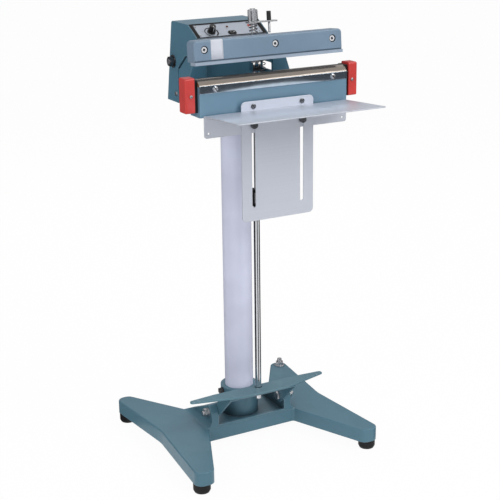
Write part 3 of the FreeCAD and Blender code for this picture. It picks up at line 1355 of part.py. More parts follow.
def coil_spring(name, radius, wire, low, high, turns):
    """A coil spring about Z whose wire just fits between two levels."""
    spots = list(helix_spots(radius, high - low - 2 * wire, turns))
    arcs = []
    for (start, start_way), (end, end_way) in zip(spots, spots[1:]):
        arcs += tangent_arcs(start, start_way, end, end_way)
    path = Part.Wire([arc.toShape() for arc in arcs])
    section = Part.Wire([Part.makeCircle(wire, spots[0][0], spots[0][1])])
    pipe = Part.BRepOffsetAPI.MakePipeShell(path)
    pipe.add(section)
    pipe.build()
    pipe.makeSolid()
    item = doc.addObject("Part::Feature", name)
    item.Shape = pipe.shape()
    print(name, "least gap between turns", round(least_gap(arcs, wire), 2), "mm")
    return item


def least_gap(arcs, wire):
    """The least clear gap between stretches of the wire at least half a turn apart."""
    samples = [arc.value((arc.FirstParameter + arc.LastParameter) / 2) for arc in arcs]
    apart = TURN_STEPS
    return min((samples[i] - samples[j]).Length
               for i in range(len(samples)) for j in range(i + apart, len(samples))) - 2 * wire


def pressure_spring():
    gap = s.running_gap.value
    item = coil_spring("pressure_spring", s.spring_radius.value, s.spring_wire.value, gap,
                       s.spring_length.value - gap, s.spring_turns.value)
    seat_on_arm(item, "pressure_spring", 0, -s.stud_front, deck_high + s.spring_wire)


def return_spring():
    """The spring that lifts the arm, on a small bracket in front of the frame."""
    half = s.seat_half
    floor = s.return_seat
    reach = s.return_front + s.seat_reach
    ledge = box((s.return_x - half, -reach, floor - s.seat_sheet),
                (s.return_x + half, front_cover_face, floor))
    leg = box((s.return_x - half, front_cover_face - s.seat_sheet, floor - s.seat_leg),
              (s.return_x + half, front_cover_face, floor))
    node(fuse(ledge, leg), "spring_bracket", HEAD)
    lean = (s.pivot_back.value + s.return_front.value + s.return_radius.value)
    open_angle = math.radians(s.open_angle.value)
    deck = s.pivot_rise.value + (s.deck_low.value + (lean - 2 * s.return_radius.value)
                                 * math.sin(open_angle)) / math.cos(open_angle)
    gap = s.running_gap.value
    item = coil_spring("return_spring", s.return_radius.value, s.return_wire.value,
                       floor.value + gap, deck - gap, s.return_turns.value)
    foot = head_low + floor + s.running_gap + s.return_wire
    node(item, "return_spring", {"at": (s.return_x, stand_y - s.return_front, foot), "turn": 0})


def build():
    base_casting()
    rubber_feet()
    levelling_bolt()
    column_tube()
    column_bolts()
    pedal_pivot()
    pedal_plate()
    pedal_yoke()
    pull_rod()
    turnbuckle()
    rod_fork()
    head_frame()
    control_cover()
    cover_screws()
    front_cover()
    pivot_shaft()
    transformer()
    cable_gland()
    control_panel()
    timer()
    power_switch()
    lamps()
    lower_jaw()
    jaw_crown()
    clamp_strip()
    jaw_ends()
    jaw_supports()
    bag_apron()
    work_shelf()
    shelf_clamps()
    upper_jaw()
    arm_frame()
    microswitch()
    pressure_stud()
    pressure_knob()
    stop_screw()
    pressure_spring()
    return_spring()
    doc.recompute()


def check():
    for item in doc.Objects:
        if any(word in item.State for word in ("Invalid", "Error")):
            raise RuntimeError(f"{item.Name} ({item.Label}) did not build: {item.State}")
    for item in NODES:
        if item.Shape.isNull() or not item.Shape.isValid():
            raise RuntimeError(f"{item.Label} has no valid shape")


def write():
    os.makedirs("parts", exist_ok=True)
    for item in NODES:
        item.Shape.exportStep(f"parts/{item.Label}.step")
    print(len(NODES), "sub-parts written")


build()
check()
write()
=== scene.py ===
# %% [markdown]
# # A foot-operated impulse heat sealer
# The machine stands on a cast base. A pedal pulls a chrome rod, the rod swings a press arm, and the
# arm brings a padded upper jaw down on a heated lower jaw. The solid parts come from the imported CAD
# model. This lesson gives each of them its finish, makes the small pieces that only show from close
# by, and sets up the studio.

# %% Load the model
import math

import bmesh
import bpy
import numpy as np
from mathutils import Matrix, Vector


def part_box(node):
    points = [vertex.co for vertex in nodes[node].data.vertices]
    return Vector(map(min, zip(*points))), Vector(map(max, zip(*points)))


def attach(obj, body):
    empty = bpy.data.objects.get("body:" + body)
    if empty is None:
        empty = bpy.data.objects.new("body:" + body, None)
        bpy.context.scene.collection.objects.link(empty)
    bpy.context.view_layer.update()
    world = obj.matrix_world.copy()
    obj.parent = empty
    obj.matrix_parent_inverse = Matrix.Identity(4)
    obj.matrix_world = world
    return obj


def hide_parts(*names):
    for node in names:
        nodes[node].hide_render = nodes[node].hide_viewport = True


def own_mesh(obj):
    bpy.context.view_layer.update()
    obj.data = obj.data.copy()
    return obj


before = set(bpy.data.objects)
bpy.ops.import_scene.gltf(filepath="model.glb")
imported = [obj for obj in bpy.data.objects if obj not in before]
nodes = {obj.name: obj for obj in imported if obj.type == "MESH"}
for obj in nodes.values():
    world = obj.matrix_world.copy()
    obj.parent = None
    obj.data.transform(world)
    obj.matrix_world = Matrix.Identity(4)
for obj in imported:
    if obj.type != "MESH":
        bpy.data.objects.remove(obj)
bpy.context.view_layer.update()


def placed(name, data):
    """A new object in the scene."""
    item = bpy.data.objects.new(name, data)
    bpy.context.scene.collection.objects.link(item)
    return item


# %% [markdown]
# ## The camera
# The view was solved from the straight edges of the jaws, the base and the column, so the camera has
# the same distance, lens and slight roll as the one that saw the real machine. A long lens from
# far off keeps the column's sides almost parallel.

# %% Camera
STAND_Y = 43.1758
CAMERA_SPOT = (-1.1691, -2.2009 + STAND_Y / 1000, 1.2272)
CAMERA_DOWN = 17.81
CAMERA_SIDE = 28.38
CAMERA_ROLL = -0.69
FOCAL_PIXELS = 1235.15
PICTURE_PIXELS = 500
SENSOR_WIDTH = 36.0
lens = bpy.data.cameras.new("photo_camera")
lens.sensor_width = SENSOR_WIDTH
lens.lens = FOCAL_PIXELS / PICTURE_PIXELS * SENSOR_WIDTH
lens.clip_end = 50.0
camera = placed("photo_camera", lens)
camera.location = CAMERA_SPOT
turn = Matrix.Rotation(math.radians(-CAMERA_SIDE), 3, "Z")
tip = Matrix.Rotation(math.radians(90 - CAMERA_DOWN), 3, "X")
roll = Matrix.Rotation(math.radians(CAMERA_ROLL), 3, "Z")
camera.rotation_euler = (turn @ tip @ roll).to_euler()
bpy.context.scene.camera = camera
print("lens", round(lens.lens, 2), "mm")

# %% [markdown]
# ## Grids of points
# Every new piece in this lesson is a grid: two parameters run over a sheet of points, and the quads
# between neighbouring points make the skin. Writing the shape as whole numpy arrays keeps each formula
# in one place. A side of the grid can be closed on itself, which turns a sheet into a tube. Doubled
# points, such as those at a pole, are merged at the end, and the faces are then turned outwards.

# %% Mesh helpers
SQUARE = np.array([(-1, -1, 0), (1, -1, 0), (1, 1, 0), (-1, 1, 0)])
ONE_QUAD = np.array([(0, 1, 2, 3)])


def skin(points, round_rows=False, round_columns=True):
    """A grid of points as a shape: its points, and the quads between them. A round side joins its
    last line to its first."""
    rows, columns = points.shape[:2]
    down, across = np.meshgrid(np.arange(rows if round_rows else rows - 1),
                               np.arange(columns if round_columns else columns - 1), indexing="ij")
    below, beside = (down + 1) % rows, (across + 1) % columns
    corners = [down * columns + across, down * columns + beside, below * columns + beside,
               below * columns + across]
    return points.reshape(-1, 3), np.stack(corners, axis=-1).reshape(-1, 4)


def polar(reach, angle, height):
    """Points at a reach and an angle round Z and at a height; the three are spread over one grid."""
    reach, angle, height = np.broadcast_arrays(reach, angle, height)
    return np.stack([reach * np.cos(angle), reach * np.sin(angle), height], axis=-1)


def full_turn(steps):
    """Even angles round a circle, without a last one on top of the first."""
    return np.linspace(0, 2 * np.pi, steps, endpoint=False)


def joined(*shapes):
    """Several shapes, each its points and its quads, as one."""
    starts = np.cumsum([0] + [len(points) for points, _ in shapes[:-1]])
    points = np.concatenate([points for points, _ in shapes])
    return points, np.concatenate([quads + start for start, (_, quads) in zip(starts, shapes)])


def put_mesh(name, shape, material, sharp=40.0, turn_out=True):
    """A mesh object at the origin, doubled points merged, smooth up to the sharp angle."""
    points, quads = shape
    mesh = bpy.data.meshes.new(name)
    mesh.from_pydata(np.asarray(points, float).tolist(), [], np.asarray(quads).tolist())
    tidy = bmesh.new()
    tidy.from_mesh(mesh)
    bmesh.ops.remove_doubles(tidy, verts=tidy.verts, dist=1e-6)
    if turn_out:
        bmesh.ops.recalc_face_normals(tidy, faces=tidy.faces)
    tidy.to_mesh(mesh)
    tidy.free()
    mesh.polygons.foreach_set("use_smooth", np.ones(len(mesh.polygons), bool))
    mesh.set_sharp_from_angle(angle=math.radians(sharp))
    mesh.materials.append(material)
    return placed(name, mesh)


print("mesh helpers ready")

# %% [markdown]
# ## Studio
# The machine stands on a white sweep in soft, even light. The floor looks white because its own
# material shows plain white to the camera and to reflections, with just enough of a real diffuse
# surface mixed in to keep a soft contact shadow. Three large lamps shape the metal: a key from the
# upper right, a weaker fill from the left and a faint one from behind.


# %% Node helpers
def new_node(tree, kind, **values):
    """A new shader node of a kind, with plain values on its named inputs."""
    node = tree.nodes.new("ShaderNode" + kind)
    for name, value in values.items():
        node.inputs[name.replace("_", " ")].default_value = value
    return node


def combined(tree, operation, first, second):
    """The result of a Math node on a socket and a second socket or a plain number."""
    node = new_node(tree, "Math")
    node.operation = operation
    tree.links.new(first, node.inputs[0])
    if isinstance(second, float):
        node.inputs[1].default_value = second
    else:
        tree.links.new(second, node.inputs[1])
    return node.outputs[0]


def bare_tree(owner):
    """The node tree of a material or a world, emptied."""
    owner.use_nodes = True
    owner.node_tree.nodes.clear()
    return owner.node_tree


def mixed_by_view(tree, plain, seen, share):
    """One shader for light and shadow, and by a share another for the eye, mirrors and glass."""
    rays = new_node(tree, "LightPath").outputs
    direct = combined(tree, "MAXIMUM", rays["Is Camera Ray"], rays["Is Glossy Ray"])
    direct = combined(tree, "MAXIMUM", direct, rays["Is Transmission Ray"])
    mix = new_node(tree, "MixShader")
    tree.links.new(combined(tree, "MULTIPLY", direct, share), mix.inputs[0])
    tree.links.new(plain.outputs[0], mix.inputs[1])
    tree.links.new(seen.outputs[0], mix.inputs[2])
    return mix.outputs[0]


print("node helpers ready")

# %% Floor and world
WHITE = (1, 1, 1, 1)
PALE = (0.97, 0.97, 0.97, 1)
FLOOR_HALF = 9
SHARE_OF_WHITE = 0.96
AMBIENT = 0.55
white_floor = bpy.data.materials.new("studio_floor")
tree = bare_tree(white_floor)
diffuse = new_node(tree, "BsdfDiffuse", Color=PALE)
glow = new_node(tree, "Emission")
output = new_node(tree, "OutputMaterial")
tree.links.new(mixed_by_view(tree, diffuse, glow, SHARE_OF_WHITE), output.inputs["Surface"])
floor = put_mesh("floor", (FLOOR_HALF * SQUARE, ONE_QUAD), white_floor, turn_out=False)
world = bpy.data.worlds.new("studio")
bpy.context.scene.world = world
sky = bare_tree(world)
ambient = new_node(sky, "Background", Color=WHITE, Strength=AMBIENT)
backdrop = new_node(sky, "Background", Color=WHITE, Strength=1.0)
sky_out = new_node(sky, "OutputWorld")
sky.links.new(mixed_by_view(sky, ambient, backdrop, 1.0), sky_out.inputs["Surface"])
bpy.context.scene.view_settings.view_transform = "Standard"
print("floor and world ready")


# %% Lamps
def soft_lamp(name, spot, target, size, watts):
    """A square area lamp at a spot, turned to face a target."""
    light = bpy.data.lights.new(name, "AREA")
    light.size = size
    light.energy = watts
    lamp = placed(name, light)
    lamp.location = spot
    away = np.subtract(spot, target)
    flat = math.hypot(away[0], away[1])
    lamp.rotation_euler = (math.atan2(flat, away[2]), 0, math.atan2(away[0], -away[1]))


soft_lamp("key", (1.3, -2.2, 2.4), (0, 0, 0.5), size=1.6, watts=36)
soft_lamp("fill", (-2.4, -1.4, 1.6), (0, 0, 0.5), size=1.8, watts=22)
soft_lamp("rear", (0.8, 2.2, 2.2), (0, 0, 0.6), size=1.6, watts=16)
print("lamps hung")

# %% [markdown]
# ### Dark cards for the bright metal
# Chrome in an all-white room looks like white plastic, because there is nothing dark for it to mirror.
# A photographer stands black cards around it. Here the cards are curved walls and fans on the floor
# that only mirror rays can see: the camera looks through them, and they take no light from the object.
# The card in front of the clamp strip has a slanted, arched foot, and the white gap under it draws the
# bright band along the strip's lower half. The cards at the left and the right give the pressure knob
# its dark flanks.

# %% Cards
OVER_FLOOR = 0.004


def dark_card(name, shape, grey):
    """A card that only mirrors show: an even grey with a touch of blue."""
    material = bpy.data.materials.new(name)
    tree = bare_tree(material)
    glow = new_node(tree, "Emission", Color=(grey, grey, grey * 1.05, 1))
    output = new_node(tree, "OutputMaterial")
    tree.links.new(glow.outputs[0], output.inputs["Surface"])
    card = put_mesh(name, shape, material, turn_out=False)
    for rays in ("camera", "diffuse", "shadow", "transmission"):
        setattr(card, "visible_" + rays, False)


def wall(bearings, radius, feet, high):
    """Part of an upright round wall. Its foot runs straight between the heights at the bearings."""
    degrees = np.linspace(bearings[0], bearings[-1], 83)
    foot = np.interp(degrees, bearings, feet)
    height = np.stack([foot, np.full_like(foot, high)])
    return skin(polar(radius, np.radians(degrees), height), round_columns=False)


def fan(start, end, inner, outer):
    """Part of a flat ring just over the floor: bearing from start to end."""
    bearing = np.radians(np.linspace(start, end, 25))
    return skin(polar(np.array([[inner], [outer]]), bearing, OVER_FLOOR), round_columns=False)


NEAR = 1.35
FAR = 1.9
FAN_REACH = (0.3, 8.8)
SIDE_FEET = (0.66, 0.66)
ARCH_BEARINGS = (281, 288.9, 292, 295.3, 298.5, 301.8, 322)
ARCH_FEET = (0.5, 0.5505, 0.564, 0.5752, 0.5828, 0.586, 0.586)
dark_card("card_rear", wall((20, 160), FAR, (0, 0), high=2.2), grey=0.16)
dark_card("card_front_right", wall(ARCH_BEARINGS, NEAR, ARCH_FEET, high=1.0), grey=0.1)
dark_card("card_front_low", wall((281, 322), NEAR, (0.37, 0.37), high=0.5), grey=0.1)
dark_card("card_front_left", wall((186, 222), NEAR, SIDE_FEET, high=1.1), grey=0.03)
dark_card("card_right", wall((335, 375), NEAR, SIDE_FEET, high=1.1), grey=0.03)
dark_card("card_floor_front", fan(246, 280, *FAN_REACH), grey=0.03)
dark_card("card_floor_rear", fan(-40, 195, *FAN_REACH), grey=0.04)
print("cards placed")

# %% [markdown]
# ## Finishes
# Every finish starts from the same small kit: a shader, a noise that follows the piece's own
# coordinates, a colour ramp and a bump. What makes a finish is the scale and the shape of that noise.
# Numbers that are the same all over a surface are set straight on the shader.


# %% Material kit
def linear(red, green, blue):
    """Display values from 0 to 255 as the linear colour that a shader takes."""
    display = np.array([red, green, blue]) / 255
    return tuple(np.where(display <= 0.04045, display / 12.92, ((display + 0.055) / 1.055) ** 2.4))


class Finish:
    """A node material built step by step: a shader, textures in object space and a bump."""

    def __init__(self, name, color, roughness, metallic=0.0, coat=0.0, specular=0.5, edge=0.0):
        self.material = bpy.data.materials.new(name)
        self.material.use_nodes = True
        self.tree = self.material.node_tree
        self.shader = self.tree.nodes["Principled BSDF"]
        self.color = np.array(linear(*color))
        numbers = {"Base Color": (*self.color, 1), "Roughness": roughness, "Metallic": metallic,
                   "Coat Weight": coat, "Coat Roughness": 0.15, "Specular IOR Level": specular}
        for socket, value in numbers.items():
            self.shader.inputs[socket].default_value = value
        self.place = self.node("TexCoord").outputs["Object"]
        self.rounded = None
        if edge:
            bevel = self.node("Bevel", Radius=edge)
            bevel.samples = 4
            self.rounded = bevel.outputs["Normal"]
            self.link(self.rounded, self.shader.inputs["Normal"])

    def node(self, kind, **values):
        return new_node(self.tree, kind, **values)

    def link(self, start, end):
        self.tree.links.new(start, end)

    def texture(self, kind, along=None, **values):
        """A texture node over the piece's own coordinates, or along stretched ones."""
        node = self.node(kind, **values)
        self.link(along or self.place, node.inputs["Vector"])
        return node

    def stretched(self, scale):
        """Object coordinates stretched along the axes, for brushing and drawn metal."""
        return self.texture("Mapping", Scale=scale).outputs["Vector"]

    def noise(self, scale, detail=3.0, rough=0.5, along=None):
        return self.texture("TexNoise", along, Scale=scale, Detail=detail, Roughness=rough).outputs["Fac"]

    def bands(self, scale, axis="X"):
        """Even waves that follow each other along one axis."""
        node = self.texture("TexWave", Scale=scale)
        node.bands_direction = axis
        return node.outputs["Fac"]

    def span(self, factor, start, end, low, high):
        """A factor that runs from start to end, laid out between low and high and held there."""
        node = self.node("MapRange", From_Min=start, From_Max=end, To_Min=low, To_Max=high)
        self.link(factor, node.inputs["Value"])
        return node.outputs["Result"]

    def tone(self, factor, spread, start=0.35, end=0.65):
        """Lets the colour drift a little darker and lighter with a noise."""
        ramp = self.node("ValToRGB")
        ends = ramp.color_ramp.elements
        ends[0].position, ends[1].position = start, end
        ends[0].color = (*(self.color * (1 - spread)), 1)
        ends[1].color = (*np.minimum(self.color * (1 + spread), 1), 1)
        self.link(factor, ramp.inputs["Fac"])
        self.link(ramp.outputs["Color"], self.shader.inputs["Base Color"])

    def gloss(self, factor, low, high):
        """Lets the roughness run between two values with a noise."""
        self.link(self.span(factor, 0.0, 1.0, low, high), self.shader.inputs["Roughness"])

    def bump(self, factor, strength, depth):
        """Raises the surface with a noise, on top of the rounded edges where there are any."""
        node = self.node("Bump", Strength=strength, Distance=depth)
        self.link(factor, node.inputs["Height"])
        if self.rounded:
            self.link(self.rounded, node.inputs["Normal"])
        self.link(node.outputs["Normal"], self.shader.inputs["Normal"])

    def over(self, mask, color):
        """Lays a second colour over the toned one where the mask is one."""
        mix = self.node("Mix")
        mix.data_type = "RGBA"
        below = self.shader.inputs["Base Color"]
        self.link(below.links[0].from_socket, mix.inputs[6])
        mix.inputs[7].default_value = (*linear(*color), 1)
        self.link(mask, mix.inputs[0])
        self.link(mix.outputs[2], below)

    def product(self, first, second):
        return combined(self.tree, "MULTIPLY", first, second)

    def rubbed(self, color, share):
        """Partly wear, partly a painted highlight: a paler colour along the edges, in patches, where the
        rounded normal leaves the true one.
        """
        dot = self.node("VectorMath")
        dot.operation = "DOT_PRODUCT"
        self.link(self.rounded, dot.inputs[0])
        self.link(self.node("NewGeometry").outputs["Normal"], dot.inputs[1])
        edges = self.span(dot.outputs["Value"], 0.99, 0.86, 0.0, share)
        patches = self.span(self.noise(45, 4, 0.65), 0.42, 0.62, 0.15, 1.0)
        self.over(self.product(edges, patches), color)

    def grime(self, color, reach, share):
        """Painted shade: the colour darkens in corners and pockets, where a piece stands in its own light.
        """
        shade = self.node("AmbientOcclusion", Distance=reach)
        shade.samples = 8
        shade.only_local = True
        self.over(self.span(shade.outputs["AO"], 0.8, 0.25, 0.0, share), color)


print("material kit ready")

# %% [markdown]
# ### Enamel, sheet and plate
# The castings and housings carry a semi-gloss blue-grey enamel: a broad, faint cloud of tone, a fine
# orange-peel bump, paler edges that are partly wear and partly painted highlight, and painted shade
# in the pockets. The pedal's enamel is scuffed by shoes. The column has a smoother pale coat with a
# breath of lavender. The apron and the shelf are bright sheet with a fine brushing that runs across the
# machine and edges painted white as a highlight, and chrome is almost bare. Each finish is put at once
# on the CAD pieces that wear it, which keep their meshes.

# %% Recipes for paint and plate
ENAMEL_EDGE = 0.0016
PEEL_SCALE = 420
PEEL_DEPTH = 0.0006


def enamel(name, color, peel, roughness, edge_wear_and_highlight=0.65):
    """Sprayed enamel on a casting or a housing."""
    finish = Finish(name, color, roughness, coat=0.12, specular=0.4, edge=ENAMEL_EDGE)
    finish.tone(finish.noise(9, 4), 0.06)
    finish.gloss(finish.noise(40, 2), roughness - 0.06, roughness + 0.08)
    finish.bump(finish.noise(PEEL_SCALE, 2), peel, PEEL_DEPTH)
    # paler edges: partly wear, partly a painted highlight
    finish.rubbed((168, 180, 188), edge_wear_and_highlight)
    # painted shade: corners and pockets darken towards this blue-black
    finish.grime((26, 36, 44), reach=0.09, share=0.85)
    return finish.material


def trodden(name, color, peel, roughness):
    """The casting's enamel on the pedal, with scuffs that run the way a shoe slides."""
    finish = Finish(name, color, roughness, coat=0.1, specular=0.4, edge=ENAMEL_EDGE)
    finish.tone(finish.noise(9, 4), 0.06)
    scuffs = finish.noise(1, 4, 0.7, along=finish.stretched((140, 22, 60)))
    trodden_parts = finish.span(finish.noise(14, 2), 0.4, 0.62, 0.0, 1.0)
    worn = finish.product(finish.span(scuffs, 0.56, 0.72, 0.0, 0.5), trodden_parts)
    finish.over(worn, (156, 172, 178))
    finish.gloss(scuffs, roughness - 0.06, roughness + 0.12)
    finish.bump(finish.noise(PEEL_SCALE, 2), peel, PEEL_DEPTH)
    # paler edges: partly wear, partly a painted highlight
    finish.rubbed((172, 184, 190), 0.6)
    return finish.material


def brushed(name, color, along, roughness, metallic, strength, spread, edge=0.0005, edge_wear_and_highlight=0.0):
    """Metal with fine lines; along says how much the noise is squeezed on each axis."""
    finish = Finish(name, color, roughness, metallic=metallic, edge=edge)
    lines = finish.noise(1, 3, 0.6, along=finish.stretched(along))
    finish.tone(lines, spread)
    finish.gloss(lines, roughness - 0.05, roughness + 0.07)
    finish.bump(lines, strength, 0.0002)
    if edge_wear_and_highlight:
        # paler edges: partly wear, partly a painted highlight
        finish.rubbed((246, 248, 252), edge_wear_and_highlight)
    return finish.material


def polished(name, color, roughness, haze=0.07, edge=0.0004):
    """Plating that mirrors the room, with a haze that comes and goes."""
    finish = Finish(name, color, roughness, metallic=1.0, edge=edge)
    finish.tone(finish.noise(60, 2), 0.03)
    finish.gloss(finish.noise(25, 3), roughness, roughness + haze)
    return finish.material


def moulded(name, color, roughness, grain, specular=0.5, edge=0.0005):
    """Plastic, rubber and other even stuff with a fine grain."""
    finish = Finish(name, color, roughness, specular=specular, edge=edge)
    finish.tone(finish.noise(14, 3), 0.08)
    finish.gloss(finish.noise(55, 2), roughness - 0.05, roughness + 0.07)
    finish.bump(finish.noise(900, 2), grain, 0.0004)
    return finish.material


print("recipes ready")

# %% Painted and plated pieces
dressed = set()


def dress(material, names):
    """Puts a material on CAD nodes and hands it on."""
    for name in names.split():
        nodes[name].data.materials.clear()
        nodes[name].data.materials.append(material)
        dressed.add(name)
    return material


dress(enamel("head_enamel", (71, 115, 136), 0.05, 0.38),
      "head_frame control_cover front_cover arm_frame jaw_supports")
dress(enamel("jaw_enamel", (116, 138, 159), 0.05, 0.38), "upper_jaw")
dress(enamel("lower_jaw_enamel", (106, 139, 161), 0.05, 0.36), "lower_jaw")
dress(enamel("casting_enamel", (80, 119, 136), 0.11, 0.44, edge_wear_and_highlight=0.9), "base_casting pedal_yoke")
dress(trodden("pedal_enamel", (88, 125, 139), 0.1, 0.44), "pedal_plate")
dress(enamel("column_enamel", (210, 213, 233), 0.03, 0.34, edge_wear_and_highlight=0.1), "column_tube")
dress(brushed("bright_sheet", (203, 208, 219), (5, 900, 900), 0.42, 0.4, 0.05, 0.02, edge=0.0012, edge_wear_and_highlight=0.9),
      "bag_apron work_shelf")
chrome = dress(polished("bright_chrome", (210, 212, 216), 0.06),
               "pull_rod rod_fork fork_pin pressure_stud arm_pivot_shaft")
knob_chrome = dress(polished("knob_chrome", (160, 162, 166), 0.05), "pressure_knob")
dress(polished("strip_chrome", (186, 201, 216), 0.02, haze=0.03, edge=0.001), "clamp_strip")
dark_plate = dress(polished("dark_plate", (104, 106, 110), 0.14), "turnbuckle clamp_screws")
zinc = dress(brushed("zinc_plate", (190, 191, 194), (220, 220, 220), 0.3, 1.0, 0.08, 0.06),
             "levelling_bolt pedal_pivot_bolts pedal_pivot_nuts rod_nut cover_screws pivot_nuts"
             " pivot_spacers panel_screws jaw_screws_small apron_spacers apron_screws clamp_nuts"
             " jaw_screws spring_bracket heating_ribbon stop_bar")
bright_zinc = brushed("bright_zinc", (222, 224, 228), (220, 220, 220), 0.4, 0.3, 0.06, 0.04)
spring_steel = dress(brushed("spring_steel", (124, 124, 128), (500, 500, 500), 0.28, 1.0, 0.05, 0.08),
                     "pressure_spring return_spring")
black_steel = dress(moulded("blackened_steel", (34, 34, 37), 0.36, 0.2), "column_bolts stop_screw")
dress(brushed("panel_satin", (168, 175, 186), (700, 700, 700), 0.45, 0.55, 0.06, 0.05), "control_panel")
print(len(dressed), "nodes painted or plated")

# %% [markdown]
# ### Plastics, rubber and insulation
# The end caps are a glossy red moulding, the feet are matt rubber with a soft grain. The sealing face
# is a woven glass cloth with a brown non-stick coat, so its bump is a weave of two crossed waves.


# %% Moulded and soft pieces
def woven(name, color, threads, roughness):
    """Two crossed waves in object space: their product stands for warp over weft."""
    finish = Finish(name, color, roughness, metallic=0.7, coat=0.8)
    weave = finish.product(finish.bands(threads, "X"), finish.bands(threads, "Y"))
    finish.tone(weave, 0.08, 0.1, 0.9)
    finish.bump(weave, 0.04, 0.0003)
    heat_marks = finish.noise(1, 3, 0.6, along=finish.stretched((18, 60, 60)))
    finish.over(finish.span(heat_marks, 0.5, 0.75, 0.0, 0.35), (116, 98, 80))
    return finish.material


def laminated(name, color, pitch):
    """Varnished iron sheets on edge: fine bands along one axis."""
    finish = Finish(name, color, 0.45, specular=0.4)
    bands = finish.bands(pitch)
    finish.tone(bands, 0.25, 0.2, 0.8)
    finish.bump(bands, 0.3, 0.0004)
    return finish.material


dress(moulded("red_moulding", (202, 60, 56), 0.32, 0.06, edge=0.0012), "end_cap_left end_cap_right")
dress(moulded("foot_rubber", (24, 24, 26), 0.65, 0.35, specular=0.3), "rubber_feet")
dress(moulded("gasket_rubber", (13, 13, 15), 0.6, 0.2, specular=0.2), "panel_gasket")
dress(moulded("pad_silicone", (150, 165, 182), 0.5, 0.15), "silicone_strip")
seal_cloth = dress(woven("seal_cloth", (130, 121, 112), 260, 0.13), "seal_skin")
dress(moulded("brown_laminate", (120, 84, 52), 0.5, 0.25), "jaw_crown")
dress(moulded("black_plastic", (17, 17, 19), 0.36, 0.15, specular=0.4),
      "timer_knob switch_bezel power_rocker cable_gland microswitch end_insulators")
dress(moulded("board_green", (38, 110, 62), 0.4, 0.1), "timer_board")
amber_lens = dress(moulded("amber_lens", (84, 40, 20), 0.14, 0.02), "power_lamp")
red_lens = dress(moulded("red_lens", (176, 70, 66), 0.14, 0.02), "heat_lamp")
dress(laminated("core_iron", (70, 66, 62), 150), "transformer")
printed_black = moulded("printed_black", (14, 14, 15), 0.5, 0.05, specular=0.2, edge=0.0)
printed_white = moulded("printed_white", (232, 234, 238), 0.5, 0.05, edge=0.0)
blank_label = moulded("blank_label", (208, 212, 222), 0.42, 0.08, edge=0.0)
print(len(dressed), "nodes dressed; bare:", sorted(set(nodes) - dressed))

# %% [markdown]
# ## Seats for the small pieces
# The head, the control panel and the press arm each have a drawing of their own, in millimetres. A seat
# holds where that drawing sits on the machine and how far it is tilted about the long axis of the jaws,
# and turns its numbers into metres. A small piece is drawn upright first and then faced to the front,
# to a side or up.


# %% Seats
class Seat:
    """A place on the machine: y and z in millimetres and a tilt in degrees about X."""

    def __init__(self, y, z, tilt=0.0):
        self.y, self.z, self.tilt = y, z, math.radians(tilt)

    def at(self, points):
        """Local millimetres as metres in the row frame: turned about X, then moved."""
        x, y, z = np.moveaxis(np.asarray(points, float), -1, 0)
        cos, sin = math.cos(self.tilt), math.sin(self.tilt)
        return np.stack([x, self.y + y * cos - z * sin, self.z + y * sin + z * cos], axis=-1) / 1000


HEAD_Z = 731
SHAFT_Y, SHAFT_Z = 138, 85
WORLD = Seat(0, 0)
STAND = Seat(STAND_Y, 0)
HEAD = Seat(STAND_Y, HEAD_Z)
PANEL = Seat(STAND_Y + 25, HEAD_Z + 145.5, 29.3)
ARM = Seat(STAND_Y + SHAFT_Y, HEAD_Z + SHAFT_Z, -5)
PANEL_TOP = -1.0
STUD_Y = -206
print("seats ready")

# %% Facing and fitting
FACINGS = {"up": [(1, 0, 0), (0, 1, 0), (0, 0, 1)], "front": [(1, 0, 0), (0, 0, 1), (0, -1, 0)],
           "left": [(0, -1, 0), (0, 0, 1), (-1, 0, 0)], "right": [(0, 1, 0), (0, 0, 1), (1, 0, 0)]}
SIDES = ((-1, "left"), (1, "right"))


def faced(shape, way, spot):
    """An upright shape with its own Z turned to face a way, set down at a spot."""
    points, quads = shape
    return points @ np.array(FACINGS[way], float) + spot, quads


def fitted(name, seat, shapes, material, body, stands_for=(), sharp=40.0):
    """Shapes joined into one piece on a seat; it rides on a body and may stand for CAD nodes."""
    points, quads = joined(*shapes)
    piece = put_mesh(name, (seat.at(points), quads), material, sharp)
    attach(piece, body)
    if stands_for:
        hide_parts(*stands_for)
    print(name, len(piece.data.polygons), "faces on", body)
    return piece


print("facings:", ", ".join(FACINGS))

# %% [markdown]
# ## Slotted screws
# Pan-head screws hold the apron, the clamp strip, the end caps, the panel and the cover. A head could
# be a lathe shape with a slot cut out of it, but a cut leaves ragged triangles. Here the head is a disc
# whose grid lines run straight across, so the slot's walls are simply grid lines set close together. The
# slot is shallow, so a thin dark plate lies in each as painted shade.

# %% Heads, shanks and slot plates of painted shade
SLOT_SHARE = 0.36
SLOT_DEPTH = 0.75


def rotation(degrees):
    """The matrix that turns rows of x and y by an angle."""
    cos, sin = math.cos(math.radians(degrees)), math.sin(math.radians(degrees))
    return np.array([(cos, sin), (-sin, cos)])


def slotted_head(radius, height, slot, depth, turned):
    """x = u and y = v·√(1 − u²) cover a disc. The top is height·(1 − 0.3·r⁴), and a flat floor at
    height − depth where |u| is under half the slot; the outermost lines drop to the seat and close
    underneath."""
    half = slot / radius / 2
    side = np.sin(np.linspace(-np.pi / 2, -math.asin(half * 1.04), 9))
    u = np.concatenate([side, np.linspace(-half, half, 3), -side[::-1]])
    v = np.concatenate([[-1], np.linspace(-1, 1, 19), [1]])
    x, along = np.meshgrid(u, v, indexing="ij")
    y = along * np.sqrt(np.maximum(1 - x ** 2, 0))
    dome = height * (1 - 0.3 * (x * x + y * y) ** 2)
    top = np.where(np.abs(x) < half * 1.02, height - depth, dome)
    top[:, [0, -1]] = 0
    disc = np.stack([x, y], axis=-1) @ rotation(turned) * radius
    return skin(np.concatenate([disc, top[..., None]], axis=-1))


def turned_shape(profile, steps):
    """A closed profile of (radius, height) pairs carried round the Z axis."""
    radius, height = np.asarray(profile, float).T[..., None]
    return skin(polar(radius, full_turn(steps), height), round_rows=radius[0, 0] > 0)


